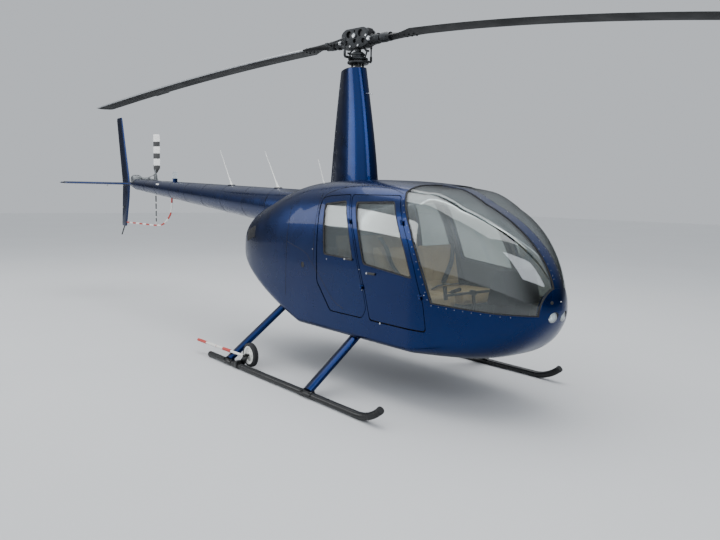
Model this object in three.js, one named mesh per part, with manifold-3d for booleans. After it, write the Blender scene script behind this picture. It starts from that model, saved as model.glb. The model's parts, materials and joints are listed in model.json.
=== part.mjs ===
// A light four-seat helicopter parked on its skids, with its two-blade main rotor at rest over the tail.
// Millimetres. +X points to the nose, +Y to the left side and +Z up, and the skids stand on Z = 0.
// Every place below is measured from the rotor mast's axis. The group at the end moves the whole
// machine by MAST_X and MAST_Y, so that its origin is on the ground under the middle of its box.
import * as THREE from "three";
import { mergeVertices } from "three/addons/utils/BufferGeometryUtils.js";
import Module from "manifold-3d";

const wasm = await Module();
wasm.setup();

// Driving sizes
const MAST_X = 851.5; // mast axis, forward of the middle of the box
const MAST_Y = 0; // mast axis, left of the middle of the box
const GAP = 0.3; // between pieces that touch
const DOOR_GAP = 6; // round a door
const WALL = 30; // cabin wall and door
const GLASS = { outside: 6, inside: 12 }; // depth of a pane's two faces under the skin

// The body's outline. Between the two starts it keeps its width, and each end closes on ovals: a share
// of the way to the tip, t, leaves (1 - t ^ power) ^ (1 / root) of the size.
const BODY = { half: 622, low: 429, roof: 1831, beam: 515, lowPower: 3.64, highPower: 4.78 };
const ROOF_CROWN = { x: 450, drop: 30, reach: 650 }; // the roof's highest place and its fall
const NOSE = {
  start: 1484,
  tip: 2459,
  z: 881,
  half: [1.38, 1.79],
  low: [3.93, 1.24],
  high: [1.37, 2.04],
  lowPower: 2.07,
  highPower: 1.6,
};
const TAIL = {
  start: -94,
  tip: -1592,
  z: 1158,
  half: [3.27, 3.24],
  low: [1.2, 1.43],
  high: [1.86, 1.89],
  lowPower: 2.85,
  highPower: 2.74,
};
const TAIL_CUT = -1500; // the cowling's open end
const FIREWALL_X = 170; // where the cabin shell meets the aft cowling
const SECTION_SIDES = 32;

// three.js geometry to a solid, with its faces turned outwards
function solid(geometry) {
  const g = geometry.index ? geometry.toNonIndexed() : geometry.clone();
  g.deleteAttribute("normal");
  g.deleteAttribute("uv");
  const merged = mergeVertices(g, 1e-3);
  const vertProperties = merged.attributes.position.array;
  const triVerts = new Uint32Array(merged.index.array);
  const made = new wasm.Manifold(new wasm.Mesh({ numProp: 3, vertProperties, triVerts }));
  if (made.volume() > 0) return made;
  for (let i = 0; i < triVerts.length; i += 3) {
    [triVerts[i + 1], triVerts[i + 2]] = [triVerts[i + 2], triVerts[i + 1]];
  }
  return new wasm.Manifold(new wasm.Mesh({ numProp: 3, vertProperties, triVerts }));
}

function join(first, ...others) {
  return others.reduce((all, next) => all.add(next), first);
}

function cut(first, ...others) {
  return others.reduce((all, next) => all.subtract(next), first);
}

// Solid between rings of points that have the same count, with flat ends
function loft(rings) {
  const count = rings[0].length;
  const position = [];
  const index = [];
  for (const ring of rings) for (const p of ring) position.push(p.x, p.y, p.z);
  for (let r = 0; r < rings.length - 1; r++) {
    for (let i = 0; i < count; i++) {
      const a = r * count + i;
      const b = r * count + ((i + 1) % count);
      index.push(a, b, a + count, b, b + count, a + count);
    }
  }
  const addEnd = (base, turned) => {
    for (let i = 1; i < count - 1; i++) {
      if (turned) index.push(base, base + i, base + i + 1);
      else index.push(base, base + i + 1, base + i);
    }
  };
  addEnd(0, false);
  addEnd((rings.length - 1) * count, true);
  const g = new THREE.BufferGeometry();
  g.setAttribute("position", new THREE.Float32BufferAttribute(position, 3));
  g.setIndex(index);
  return solid(g);
}

function box(x0, x1, y0, y1, z0, z1) {
  const g = new THREE.BoxGeometry(x1 - x0, y1 - y0, z1 - z0);
  return solid(g.translate((x0 + x1) / 2, (y0 + y1) / 2, (z0 + z1) / 2));
}

const at = (x, y, z) => new THREE.Vector3(x, y, z);

// Round bar or cone between two points
function rod(from, to, radius, sides = 12, endRadius = radius) {
  const along = to.clone().sub(from);
  const g = new THREE.CylinderGeometry(endRadius, radius, along.length(), sides);
  g.translate(0, along.length() / 2, 0);
  g.applyQuaternion(new THREE.Quaternion().setFromUnitVectors(at(0, 1, 0), along.normalize()));
  return solid(g.translate(from.x, from.y, from.z));
}

// A side-view outline of [x, z] corners, rounded, as a solid from y0 to y1
function sidePanel(corners, y0, y1, round = 0) {
  const shape = new THREE.Shape();
  corners.forEach((corner, i) => {
    const here = new THREE.Vector2(...corner);
    const before = new THREE.Vector2(...corners[(i + corners.length - 1) % corners.length]);
    const after = new THREE.Vector2(...corners[(i + 1) % corners.length]);
    const start = here.clone().add(before.sub(here).setLength(round || 1));
    const end = here.clone().add(after.sub(here).setLength(round || 1));
    if (!round) {
      if (i) shape.lineTo(here.x, here.y);
      else shape.moveTo(here.x, here.y);
      return;
    }
    if (i) shape.lineTo(start.x, start.y);
    else shape.moveTo(start.x, start.y);
    shape.quadraticCurveTo(here.x, here.y, end.x, end.y);
  });
  shape.closePath();
  const options = { depth: y1 - y0, bevelEnabled: false, curveSegments: 3 };
  const g = new THREE.ExtrudeGeometry(shape, options);
  return solid(g.rotateX(Math.PI / 2).translate(0, y1, 0));
}

const oval = (t, [power, root]) => Math.max(0, 1 - Math.max(0, t) ** power) ** (1 / root);
const blend = (from, to, share) => from + (to - from) * share;

// Half width, belly, roof, height of the widest place and section powers at x, drawn in by depth
function bodyAt(x, depth = 0) {
  const crown = ROOF_CROWN.drop * Math.min(4, ((x - ROOF_CROWN.x) / ROOF_CROWN.reach) ** 2);
  const end = x > NOSE.start - 1 ? NOSE : TAIL;
  const tip = end.tip - Math.sign(end.tip) * depth;
  const t = THREE.MathUtils.clamp((x - end.start) / (tip - end.start), 0, 1);
  const low = BODY.low + depth;
  const high = BODY.roof - crown - depth;
  return {
    half: (BODY.half - depth) * oval(t, end.half),
    low: blend(end.z, low, oval(t, end.low)),
    high: blend(end.z, high, oval(t, end.high)),
    beam: blend(BODY.beam, end.z, t),
    lowPower: blend(BODY.lowPower, end.lowPower, t ** 2),
    highPower: blend(BODY.highPower, end.highPower, t ** 2),
  };
}

// One ring of the body at x
function bodyRing(x, depth) {
  const { half, low, high, beam, lowPower, highPower } = bodyAt(x, depth);
  const ring = [];
  for (let i = 0; i < SECTION_SIDES; i++) {
    const angle = (2 * Math.PI * i) / SECTION_SIDES;
    const upper = Math.sin(angle) >= 0;
    const power = 2 / (upper ? highPower : lowPower);
    const across = Math.sign(Math.cos(angle)) * Math.abs(Math.cos(angle)) ** power;
    const up = Math.abs(Math.sin(angle)) ** power;
    ring.push(at(x, half * across, upper ? beam + (high - beam) * up : beam - (beam - low) * up));
  }
  return ring;
}

// The body drawn in by depth, as one closed solid
function bodySolid(depth) {
  const stations = [];
  const noseLength = NOSE.tip - depth - NOSE.start;
  for (const degrees of [3, 8, 14, 21, 29, 37, 45, 54, 64, 76, 90]) {
    stations.push(NOSE.start + noseLength * Math.cos(THREE.MathUtils.degToRad(degrees)));
  }
  stations.push(1200, 800, 400, TAIL.start);
  for (const degrees of [16, 28, 38, 47, 56, 64, 72, 79, 85]) {
    stations.push(TAIL.start - (TAIL.start - TAIL.tip - depth) * Math.sin(THREE.MathUtils.degToRad(degrees)));
  }
  return loft(stations.map((x) => bodyRing(x, depth)));
}

// Half width of the skin at x and height z
function skinAt(x, z) {
  const { half, low, high, beam, lowPower, highPower } = bodyAt(x);
  const upper = z > beam;
  const up = upper ? (z - beam) / (high - beam) : (beam - z) / (beam - low);
  const power = upper ? highPower : lowPower;
  return half * Math.max(0, 1 - up ** power) ** (1 / power);
}

// Streamlined section of chord 1 and thickness 1, from the nose round to the tail and back
function streamline(steps) {
  const points = [];
  const half = (u) =>
    5 * (0.2969 * Math.sqrt(u) - 0.126 * u - 0.3516 * u ** 2 + 0.2843 * u ** 3 - 0.0986 * u ** 4);
  for (let i = 0; i <= steps; i++) {
    const u = (1 - Math.cos((Math.PI * i) / steps)) / 2;
    points.push([u, half(u)]);
  }
  for (let i = steps; i > 0; i--) {
    const u = (1 - Math.cos((Math.PI * i) / steps)) / 2;
    points.push([u, -half(u)]);
  }
  return points;
}

// Wing through sections { nose, chord, thick, back, side }: back points along the chord, side across it
function wing(sections, steps = 6) {
  const outline = streamline(steps);
  return loft(
    sections.map(({ nose, chord, thick, back, side }) =>
      outline.map(([u, v]) =>
        nose.clone().addScaledVector(back, u * chord).addScaledVector(side, v * thick),
      ),
    ),
  );
}

const mirrored = (made) => made.mirror([0, 1, 0]);

// Finishes
const paint = { color: 0x0b2a66, roughness: 0.25, metalness: 0.5 };
const FINISH = {
  bluePaint: paint,
  clearGlass: { color: 0x8a8f92, roughness: 0.05, metalness: 0, transparent: true, opacity: 0.35 },
  tanLeather: { color: 0x7a5f3c, roughness: 0.6, metalness: 0 },
  greyCarpet: { color: 0x35363a, roughness: 0.95, metalness: 0 },
  blackPlastic: { color: 0x141516, roughness: 0.55, metalness: 0 },
  castAluminium: { color: 0x777a7c, roughness: 0.5, metalness: 0.9 },
  whiteFibreglass: { color: 0xd8d8d2, roughness: 0.5, metalness: 0 },
  blackPaint: { color: 0x0b0c0e, roughness: 0.4, metalness: 0.2 },
  bareMetal: { color: 0x8b8d8e, roughness: 0.35, metalness: 1 },
  whitePaint: { color: 0xe6e6e2, roughness: 0.4, metalness: 0 },
  redStripes: { color: 0xb8372c, roughness: 0.45, metalness: 0 },
  lampGlass: { color: 0xe9eef0, roughness: 0.1, metalness: 0 },
  tyreRubber: { color: 0x15171a, roughness: 0.9, metalness: 0 },
};

const helicopter = new THREE.Group();

function piece(name, made, finish) {
  const mesh = made.getMesh();
  const position = new Float32Array(mesh.numVert * 3);
  for (let i = 0; i < mesh.numVert; i++) {
    const start = i * mesh.numProp;
    position.set(mesh.vertProperties.subarray(start, start + 3), i * 3);
  }
  const g = new THREE.BufferGeometry();
  g.setAttribute("position", new THREE.BufferAttribute(position, 3));
  g.setIndex(new THREE.BufferAttribute(mesh.triVerts, 1));
  g.computeVertexNormals();
  const node = new THREE.Mesh(g, new THREE.MeshStandardMaterial(FINISH[finish]));
  node.name = name;
  helicopter.add(node);
}

// Right-hand copy as made, left-hand copy mirrored
function pair(name, made, finish) {
  piece(name + "_right", made, finish);
  piece(name + "_left", mirrored(made), finish);
}

// Side-view outlines, [x, z]. A door turns on a slanted line, so its edge needs more room where
// it first sinks or moves aft: swing is that room in x and z
const WIDE = 900; // past the skin on either side
const DOORS = {
  front: {
    outline: [
      [628, 1690],
      [1225, 1688],
      [1345, 1480],
      [1445, 1317],
      [1518, 1151],
      [1568, 1000],
      [1618, 866],
      [1650, 655],
      [1012, 655],
      [945, 868],
      [858, 1089],
      [770, 1338],
      [712, 1464],
    ],
    hinges: [
      [1348, 1480],
      [1601, 915],
    ],
    swing: [0, -6],
  },
  rear: {
    outline: [
      [205, 1655],
      [300, 1674],
      [596, 1690],
      [680, 1464],
      [738, 1338],
      [826, 1089],
      [913, 868],
      [955, 735],
      [905, 655],
      [450, 655],
      [236, 900],
    ],
    hinges: [
      [683, 1464],
      [898, 915],
    ],
    swing: [-7, -3],
  },
};
const PANES = {
  front: [
    [701, 1633],
    [1190, 1646],
    [1318, 1435],
    [1420, 1253],
    [1512, 1046],
    [898, 1107],
  ],
  rear: [
    [262, 1610],
    [568, 1643],
    [665, 1420],
    [762, 1129],
    [322, 1148],
  ],
};
const CORNER = 30; // rounding of doors and windows
// Windshield, from the A post forward and over the nose
const SCREEN = [
  [1250, 1990],
  [1243, 1715],
  [1280, 1672],
  [1355, 1555],
  [1451, 1410],
  [1540, 1230],
  [1616, 1051],
  [1684, 873],
  [2164, 838],
  [2600, 832],
  [2600, 1990],
];
const CENTRE_POST = 51; // half the width of the strip between the two screens
const NOSE_CAP = { z: 836, half: 168, rise: 212 }; // oval in front view that the screens stop at
const LAMP = { y: 62, z: 829, radius: 42, front: 2412, back: 2250 };

// Draws a side-view outline in or out by a margin, about its own middle line
function grown(corners, margin) {
  const ring = corners.map(([x, z]) => new THREE.Vector2(x, z));
  const turn = Math.sign(THREE.ShapeUtils.area(ring));
  return ring.map((here, i) => {
    const before = ring[(i + ring.length - 1) % ring.length];
    const after = ring[(i + 1) % ring.length];
    const one = here.clone().sub(before).normalize();
    const two = after.clone().sub(here).normalize();
    const normals = [one, two].map((d) => new THREE.Vector2(d.y, -d.x).multiplyScalar(turn));
    const middle = normals[0].clone().add(normals[1]).normalize();
    const reach = margin / middle.dot(normals[0]);
    return [here.x + middle.x * reach, here.y + middle.y * reach];
  });
}

const outer = bodySolid(0);
const inner = bodySolid(WALL);
const skin = outer.subtract(inner);
const bodyMiddle = 1130; // height that the body is scaled about, to cut its neighbours a gap away
const outerGrown = outer.translate([0, 0, -bodyMiddle]).scale(1.0006).translate([0, 0, bodyMiddle]);
const glassLayer = bodySolid(GLASS.outside).subtract(bodySolid(GLASS.inside));

// The nose cap's oval as a bar along X
function noseCapBar(margin) {
  const bar = new THREE.CylinderGeometry(1, 1, 1200, 32).rotateZ(Math.PI / 2);
  bar.scale(1, NOSE_CAP.half + margin, NOSE_CAP.rise + margin);
  return solid(bar.translate(2300, 0, NOSE_CAP.z));
}

// Doors: each hangs on two hinges in front of its forward edge, on a line outside the skin
const HINGE = { radius: 9, length: 22, stand: 15 };
const hingeLine = (door) => DOORS[door].hinges.map(([x, z]) => at(x, -(skinAt(x, z) + HINGE.stand), z));

// Knuckles of a door's two hinges, on the door (side -1) or on the post ahead of it (side 1)
function knuckles(door, side) {
  const [top, bottom] = hingeLine(door);
  const up = top.clone().sub(bottom).normalize();
  return [top, bottom].map((hinge) => {
    const near = hinge.clone().addScaledVector(up, side * 0.25);
    const far = hinge.clone().addScaledVector(up, side * HINGE.length);
    const middle = near.clone().add(far).multiplyScalar(0.5);
    const root = middle.clone().add(at(side * 15, HINGE.stand + 12, 0));
    return join(rod(near, far, HINGE.radius, 10), rod(middle, root, 6, 6));
  });
}

const rightSide = (outline) => sidePanel(outline, -WIDE, -120, CORNER);
for (const door of ["front", "rear"]) {
  const panel = skin.intersect(rightSide(DOORS[door].outline));
  const frame = cut(panel, rightSide(PANES[door]));
  pair(door + "_door", join(frame, ...knuckles(door, -1)), "bluePaint");
  const glass = glassLayer.intersect(rightSide(grown(PANES[door], -GAP)));
  pair(door + "_door_window", glass, "clearGlass");
}

// Cabin skin, with doorways, screens and lamp holes cut out. It has three panels: the nose ahead of the
// doors, the belly pan under the door sills, and the roof with its posts
const SEAM = { noseX: 1700, noseTop: 1040, sill: 655 - DOOR_GAP + DOORS.front.swing[1] };
function cabinSkin() {
  let shell = skin.intersect(box(FIREWALL_X, 2600, -WIDE, WIDE, 0, 2200));
  for (const door of ["front", "rear"]) {
    const [swingX, swingZ] = DOORS[door].swing;
    const opening = rightSide(grown(DOORS[door].outline, DOOR_GAP));
    const doorway = join(opening, opening.translate([swingX, 0, swingZ]));
    shell = cut(shell, doorway, mirrored(doorway));
    for (const knuckle of knuckles(door, 1)) shell = join(shell, knuckle, mirrored(knuckle));
  }
  const screen = sidePanel(SCREEN, -WIDE, -CENTRE_POST).subtract(noseCapBar(0));
  shell = cut(shell, screen, mirrored(screen));
  for (const side of [-1, 1]) {
    const lamp = at(NOSE.tip + 20, side * LAMP.y, LAMP.z);
    shell = cut(shell, rod(at(LAMP.back, side * LAMP.y, LAMP.z), lamp, LAMP.radius + GAP, 20));
  }
  return shell;
}
const cabin = cabinSkin();
const nosePart = box(SEAM.noseX, 2600, -WIDE, WIDE, 0, SEAM.noseTop);
const bellyPart = box(0, SEAM.noseX - GAP, -WIDE, WIDE, 0, SEAM.sill);
const besideNose = box(SEAM.noseX - GAP, 2600, -WIDE, WIDE, 0, SEAM.noseTop + GAP);
const aboveBelly = box(0, SEAM.noseX, -WIDE, WIDE, 0, SEAM.sill + GAP);
piece("nose_shell", cabin.intersect(nosePart), "bluePaint");
piece("belly_pan", cabin.intersect(bellyPart), "bluePaint");
piece("roof_and_posts", cut(cabin, besideNose, aboveBelly), "bluePaint");

const screenCut = sidePanel(grown(SCREEN, -GAP), -WIDE, -CENTRE_POST - GAP);
const screenPane = glassLayer.intersect(screenCut.subtract(noseCapBar(GAP)));
pair("windshield", screenPane, "clearGlass");

// Landing lamps: two sealed lamps side by side, each at the bottom of a cup that opens in the nose
function landingLamps() {
  const plate = box(LAMP.back + 12, LAMP.back + 24, -LAMP.y - 20, LAMP.y + 20, LAMP.z - 30, LAMP.z + 30);
  const cups = [-1, 1].map((side) => {
    const along = (x) => at(x, side * LAMP.y, LAMP.z);
    const cup = rod(along(LAMP.back + 20), along(NOSE.tip), LAMP.radius, 20).intersect(bodySolid(2));
    return cut(cup, rod(along(LAMP.front - 14), along(NOSE.tip + 20), LAMP.radius - 4, 20));
  });
  return join(plate, ...cups);
}
piece("landing_lamps", landingLamps(), "lampGlass");

// Aft cowling: skin behind the cabin, with the ridge that leads into the tail cone. Open at the back
const BOOM = {
  front: at(-1400, 0, 1540),
  back: at(-5760, 0, 1787),
  frontRadius: 208,
  backRadius: 85,
  wall: 6,
};
const boomLine = BOOM.back.clone().sub(BOOM.front);
const boomAt = (x) => {
  const share = (x - BOOM.front.x) / boomLine.x;
  const centre = BOOM.front.clone().addScaledVector(boomLine, share);
  return { z: centre.z, radius: blend(BOOM.frontRadius, BOOM.backRadius, share) };
};
function boomBar(grow) {
  const start = BOOM.front.clone().add(at(grow, 0, 0));
  return rod(start, BOOM.back, BOOM.frontRadius + grow, 28, BOOM.backRadius + grow);
}
const RIDGE = { front: at(-60, 0, 1520), radius: 190, wall: 14 };
const behindCabin = box(-2000, FIREWALL_X - GAP, -WIDE, WIDE, 0, 2200);
const aheadOfBoom = box(BOOM.front.x + GAP, 2000, -WIDE, WIDE, 0, 2200);
function ridgeBar(depth) {
  const end = BOOM.front.clone().add(at(-40, 0, 2));
  const start = RIDGE.front.clone().add(at(depth, 0, 0));
  return rod(start, end, RIDGE.radius - depth, 28, BOOM.frontRadius - depth);
}
function aftCowling() {
  const ridge = ridgeBar(0).intersect(aheadOfBoom);
  const shell = cut(join(outer, ridge), inner, ridgeBar(RIDGE.wall), boomBar(GAP));
  return shell.intersect(behindCabin).intersect(box(TAIL_CUT, 2000, -WIDE, WIDE, 0, 2200));
}
piece("aft_cowling", aftCowling(), "bluePaint");

function tailCone() {
  const hollow = rod(
    BOOM.front.clone().add(at(5, 0, 0)),
    BOOM.back.clone().add(at(-5, 0, 0)),
    BOOM.frontRadius - BOOM.wall,
    28,
    BOOM.backRadius - BOOM.wall,
  );
  return cut(boomBar(0), hollow);
}
piece("tail_cone", tailCone(), "bluePaint");

// Cabin inside: firewall behind the rear seats, and the floor with the seat boxes
const FLOOR = { z: 500, thick: 20, front: 2060, back: 400 };
const SEAT_BOX = { front: [1010, 1440], rear: [400, 850], half: 520, top: 770 };
const FIREWALL = [
  [384, 430],
  [399.7, 430],
  [399.7, 800],
  [222, 1330],
  [222, 1840],
  [206, 1840],
  [206, 1330],
  [384, 790],
];
const insideCabin = bodySolid(WALL + GAP);
const clearOfDoors = bodySolid(WALL + DOOR_GAP);
piece("firewall", sidePanel(FIREWALL, -WIDE, WIDE).intersect(clearOfDoors), "blackPaint");

function cabinFloor() {
  const floor = box(FLOOR.back, FLOOR.front, -WIDE, WIDE, FLOOR.z - FLOOR.thick, FLOOR.z);
  const boxes = [SEAT_BOX.front, SEAT_BOX.rear].map(([x0, x1]) =>
    box(x0, x1, -SEAT_BOX.half, SEAT_BOX.half, FLOOR.z - 1, SEAT_BOX.top),
  );
  return join(floor, ...boxes).intersect(insideCabin);
}
piece("cabin_floor", cabinFloor(), "greyCarpet");

// One seat pad: a block with its upper edges rounded
function pad(length, width, height, radius) {
  const shape = new THREE.Shape();
  shape.moveTo(0, 0);
  shape.lineTo(length, 0);
  shape.lineTo(length, height - radius);
  shape.quadraticCurveTo(length, height, length - radius, height);
  shape.lineTo(radius, height);
  shape.quadraticCurveTo(0, height, 0, height - radius);
  shape.closePath();
  const options = { depth: width, bevelEnabled: false, curveSegments: 4 };
  return new THREE.ExtrudeGeometry(shape, options).rotateX(Math.PI / 2).translate(0, width / 2, 0);
}
const CUSHION = { thick: 115, back: 90, lean: 12 };
// Name, back edge's x, middle's y, depth, width and the height of the backrest
const SEATS = [
  ["front_seat_right", 1010, -262, 450, 470, 491],
  ["front_seat_left", 1010, 262, 450, 470, 491],
  ["rear_seat", 500, 0, 370, 1010, 570],
];
for (const [name, x, y, depth, width, tall] of SEATS) {
  const cushion = pad(depth, width, CUSHION.thick, 35).translate(x, y, SEAT_BOX.top + GAP);
  const rest = pad(CUSHION.back, width, tall, 40);
  rest.rotateY(THREE.MathUtils.degToRad(-CUSHION.lean));
  rest.translate(x - CUSHION.back + 25, y, SEAT_BOX.top + GAP);
  const foot = box(x - 200, x + 200, y - width, y + width, 0, SEAT_BOX.top + GAP);
  const back = cut(solid(rest), foot).intersect(insideCabin);
  piece(name, join(solid(cushion), back), "tanLeather");
}

// Instrument console: pedestal on the floor with the panel head on top
function instrumentConsole() {
  const side = [[1800, 500.3], [2060, 500.3], [2120, 900], [2060, 1120], [1960, 1130], [1900, 860]];
  const head = [[1905, 860], [2125, 880], [2060, 1135], [1965, 1145]];
  return join(sidePanel(side, -95, 95), sidePanel(head, -200, 200)).intersect(insideCabin);
}
piece("instrument_console", instrumentConsole(), "blackPlastic");

// Cyclic stick between the front seats, with its cross bar and two grips
const STICK = { x: 1590, top: 905, reach: 330, radius: 15 };
const GRIP = { drop: 35, rise: 75, radius: 17 };
function cyclicStick() {
  const foot = rod(at(STICK.x + 70, 0, FLOOR.z - 60), at(STICK.x, 0, STICK.top), STICK.radius, 10);
  const bar = rod(at(STICK.x, -STICK.reach, STICK.top), at(STICK.x, STICK.reach, STICK.top), 12, 10);
  const grips = [-1, 1].map((side) => {
    const y = side * (STICK.reach - 12);
    const low = at(STICK.x + 3, y, STICK.top - GRIP.drop);
    return rod(low, at(STICK.x - 15, y, STICK.top + GRIP.rise), GRIP.radius, 10);
  });
  const underFloor = box(1500, 1800, -100, 100, FLOOR.z - 100, FLOOR.z + GAP);
  return cut(join(foot, bar, ...grips), underFloor);
}
piece("cyclic_stick", cyclicStick(), "blackPlastic");

// Engine, as one plain block, and the cooling fan's drum on the shaft behind it
const ENGINE = [[383.7, 560], [383.7, 780], [220, 1060], [-700, 1060], [-700, 780], [-420, 600]];
piece("engine_block", sidePanel(ENGINE, -330, 330), "castAluminium");
const FAN = { front: -1000, back: -1210, z: 1125, radius: 205, shaft: 55 };
function coolingFan() {
  const drum = rod(at(FAN.front, 0, FAN.z), at(FAN.back, 0, FAN.z), FAN.radius, 28);
  const shaft = rod(at(-700 - GAP, 0, 960), at(FAN.front - 5, 0, FAN.z), FAN.shaft, 14);
  const eye = rod(at(FAN.back + 150, 0, FAN.z), at(FAN.back - 5, 0, FAN.z), FAN.radius - 75, 24);
  return join(cut(drum, eye), shaft.intersect(box(-1100, -700 - GAP, -300, 300, 0, 2000)));
}
piece("cooling_fan", coolingFan(), "blackPlastic");

// Mast fairing: streamlined column on the roof, narrower at its top. Height, nose's x, chord, thickness
const FAIRING = [
  [1650, 290, 730, 285],
  [1840, 279, 711, 280],
  [2005, 251, 651, 260],
  [2243, 213, 579, 235],
  [2490, 174, 518, 210],
  [2690, 132, 442, 195],
  [2905, 84, 355, 178],
];
const fairingSection = ([z, x, chord, thick]) => {
  return { nose: at(x, 0, z), chord, thick, back: at(-1, 0, 0), side: at(0, 1, 0) };
};
const PITOT = { root: 110, tip: 229, z: 2655, radius: 7 };
function mastFairing() {
  const pitot = rod(at(PITOT.root, 0, PITOT.z), at(PITOT.tip, 0, PITOT.z), PITOT.radius, 10);
  return cut(join(wing(FAIRING.map(fairingSection), 9), pitot), outerGrown, ridgeBar(-GAP));
}
piece("mast_fairing", mastFairing(), "bluePaint");

// Rotor head. The shaft, hub, blades, links and upper swashplate turn together
const MAST = { low: 2915, radius: 30 };
const HUB = { z: 3160, top: 3280, azimuth: 189.7 };
const HORN = { x: 330, y: 190, radius: 12 };
const SWASH = { low: 2945, height: 30, split: 7, radius: 105, bore: 38 };
const spin = (g) => g.rotate([0, 0, HUB.azimuth]);
const fixedPlate = rod(at(0, 0, SWASH.low), at(0, 0, SWASH.low + SWASH.height), SWASH.radius, 28);
const plateBore = rod(at(0, 0, 2800), at(0, 0, 3100), SWASH.bore, 20);
const stems = [90, 210, 330].map((degrees) =>
  rod(at(62, 0, 2905 + GAP), at(62, 0, SWASH.low + 5), 10, 8).rotate([0, 0, degrees]),
);
function swashplate() {
  const [top, x, chord, thick] = FAIRING[FAIRING.length - 1];
  const foot = wing([top + GAP, top + 6].map((z) => fairingSection([z, x, chord, thick])), 9);
  return cut(join(fixedPlate, foot, ...stems), plateBore);
}
piece("fixed_swashplate", swashplate(), "castAluminium");

function rotorHead() {
  const plateLow = SWASH.low + SWASH.height + SWASH.split;
  const shaft = rod(at(0, 0, MAST.low), at(0, 0, HUB.z - 60), MAST.radius, 20);
  const plate = rod(at(0, 0, plateLow), at(0, 0, plateLow + 24), SWASH.radius - 8, 28);
  const plateArms = [-1, 1].map((side) =>
    rod(at(0, 0, plateLow + 12), at(0, side * HORN.y, plateLow + 12), 14, 10),
  );
  const collar = rod(at(0, 0, plateLow + 20), at(0, 0, plateLow + 80), 68, 24);
  const block = box(-110, 110, -58, 58, HUB.z - 60, HUB.top);
  const arms = [-1, 1].map((side) =>
    box(side > 0 ? 60 : -285, side > 0 ? 285 : -60, -52, 52, HUB.z - 36, HUB.z + 36),
  );
  const holes = [-185, 185].map((x) => rod(at(x, -80, HUB.z), at(x, 80, HUB.z), 16, 14));
  return spin(cut(join(shaft, plate, collar, ...plateArms, block, ...arms), ...holes));
}
piece("rotor_head", rotorHead(), "castAluminium");

// Blade along +X before it is turned: a root fitting, then a drooping streamlined blade
const BLADE = { root: 285 + GAP, wide: 760, tip: 5030, chord: 254, thick: 31 };
// The rotor has teetered, so the forward blade hangs lower than the aft one
const DROOP = { aft: { most: 300, power: 1.6 }, forward: { most: 578, power: 1.74 } };
function rotorBlade({ most, power }) {
  const droop = (r) => most * (Math.max(0, r - BLADE.root) / (BLADE.tip - BLADE.root)) ** power;
  const sections = [
    [BLADE.root, 96, 70],
    [420, 100, 66],
    [520, 130, 44],
    [BLADE.wide, BLADE.chord, BLADE.thick],
    [1500, BLADE.chord, BLADE.thick],
    [2300, BLADE.chord, BLADE.thick],
    [3100, BLADE.chord, BLADE.thick],
    [3900, BLADE.chord, BLADE.thick],
    [4600, BLADE.chord, BLADE.thick],
    [BLADE.tip, BLADE.chord - 20, BLADE.thick - 8],
  ].map(([r, chord, thick]) => ({
    nose: at(r, chord * (r < 600 ? 0.5 : 0.27), HUB.z - droop(r)),
    chord,
    thick,
    back: at(0, -1, 0),
    side: at(0, 0, 1),
  }));
  return wing(sections, 5);
}
// Pitch horn from the blade's root back beside the hub, and the upright link down to the swashplate's arm
function pitchLink() {
  const armTop = SWASH.low + SWASH.height + SWASH.split + 26;
  const link = rod(at(0, HORN.y, armTop - 15), at(0, HORN.y, HUB.z + 4), 11, 10);
  const belowLink = box(-100, 100, 80, HORN.y + 50, armTop - 60, armTop + GAP);
  const arm = rod(at(HORN.x, 84, HUB.z), at(-6, HORN.y + 1.5, HUB.z), HORN.radius, 10);
  const lug = box(HORN.x - 18, HORN.x + 20, 30, 110, HUB.z - 14, HUB.z + 14);
  return join(cut(link, belowLink), arm, lug);
}
const bladeWithLink = (way) => join(rotorBlade(DROOP[way]), pitchLink());
piece("rotor_blade_aft", spin(bladeWithLink("aft")), "blackPaint");
piece("rotor_blade_forward", spin(bladeWithLink("forward").rotate([0, 0, 180])), "blackPaint");

// Tail gearbox on the end of the tail cone, and the mount behind it for the three fins
const TAIL_ROTOR = { x: -5865, y: 340, z: 1875, radius: 745, pitch: 27, chord: 137, thick: 15 };
const MOUNT = { front: -5935, back: -6420, half: 14, low: 1770, high: 1830 };
function tailGearbox() {
  const along = boomLine.clone().normalize();
  const neckEnd = BOOM.back.clone().addScaledVector(along, 175);
  const neck = rod(BOOM.back.clone().addScaledVector(along, GAP), neckEnd, 84, 20, 60);
  const { x, z } = TAIL_ROTOR;
  const housing = rod(at(x, -60, z - 15), at(x, 90, z - 5), 74, 20);
  const snout = rod(at(x, 60, z), at(x, 200, z), 42, 18, 30);
  const mount = box(MOUNT.back, MOUNT.front + 20, -MOUNT.half, MOUNT.half, MOUNT.low, MOUNT.high);
  return join(neck, housing, snout, mount);
}
piece("tail_gearbox", tailGearbox(), "blackPaint");

// Tail rotor: shaft and hub in one, and two blades set to the same pitch
function tailRotorHub() {
  const { x, y, z } = TAIL_ROTOR;
  const shaft = rod(at(x, 206, z), at(x, y + 30, z), 16, 14);
  const block = box(x - 26, x + 26, y - 22, y + 22, z - 75, z + 75);
  const arms = rod(at(x, y, z - 120), at(x, y, z + 120), 17, 12);
  return join(shaft, block, arms);
}
function tailBlade(up) {
  const { x, y, z, radius, pitch, chord, thick } = TAIL_ROTOR;
  const turn = THREE.MathUtils.degToRad(pitch);
  const back = at(up * Math.cos(turn), Math.sin(turn), 0);
  const side = at(-Math.sin(turn), up * Math.cos(turn), 0);
  const sections = [
    [100, 60, 24],
    [190, chord, thick + 6],
    [radius - 12, chord, thick],
    [radius, chord - 30, thick - 6],
  ].map(([r, wide, deep]) => ({
    nose: at(x, y, z + up * r).addScaledVector(back, -0.3 * wide),
    chord: wide,
    thick: deep,
    back,
    side,
  }));
  return wing(sections, 5);
}
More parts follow.
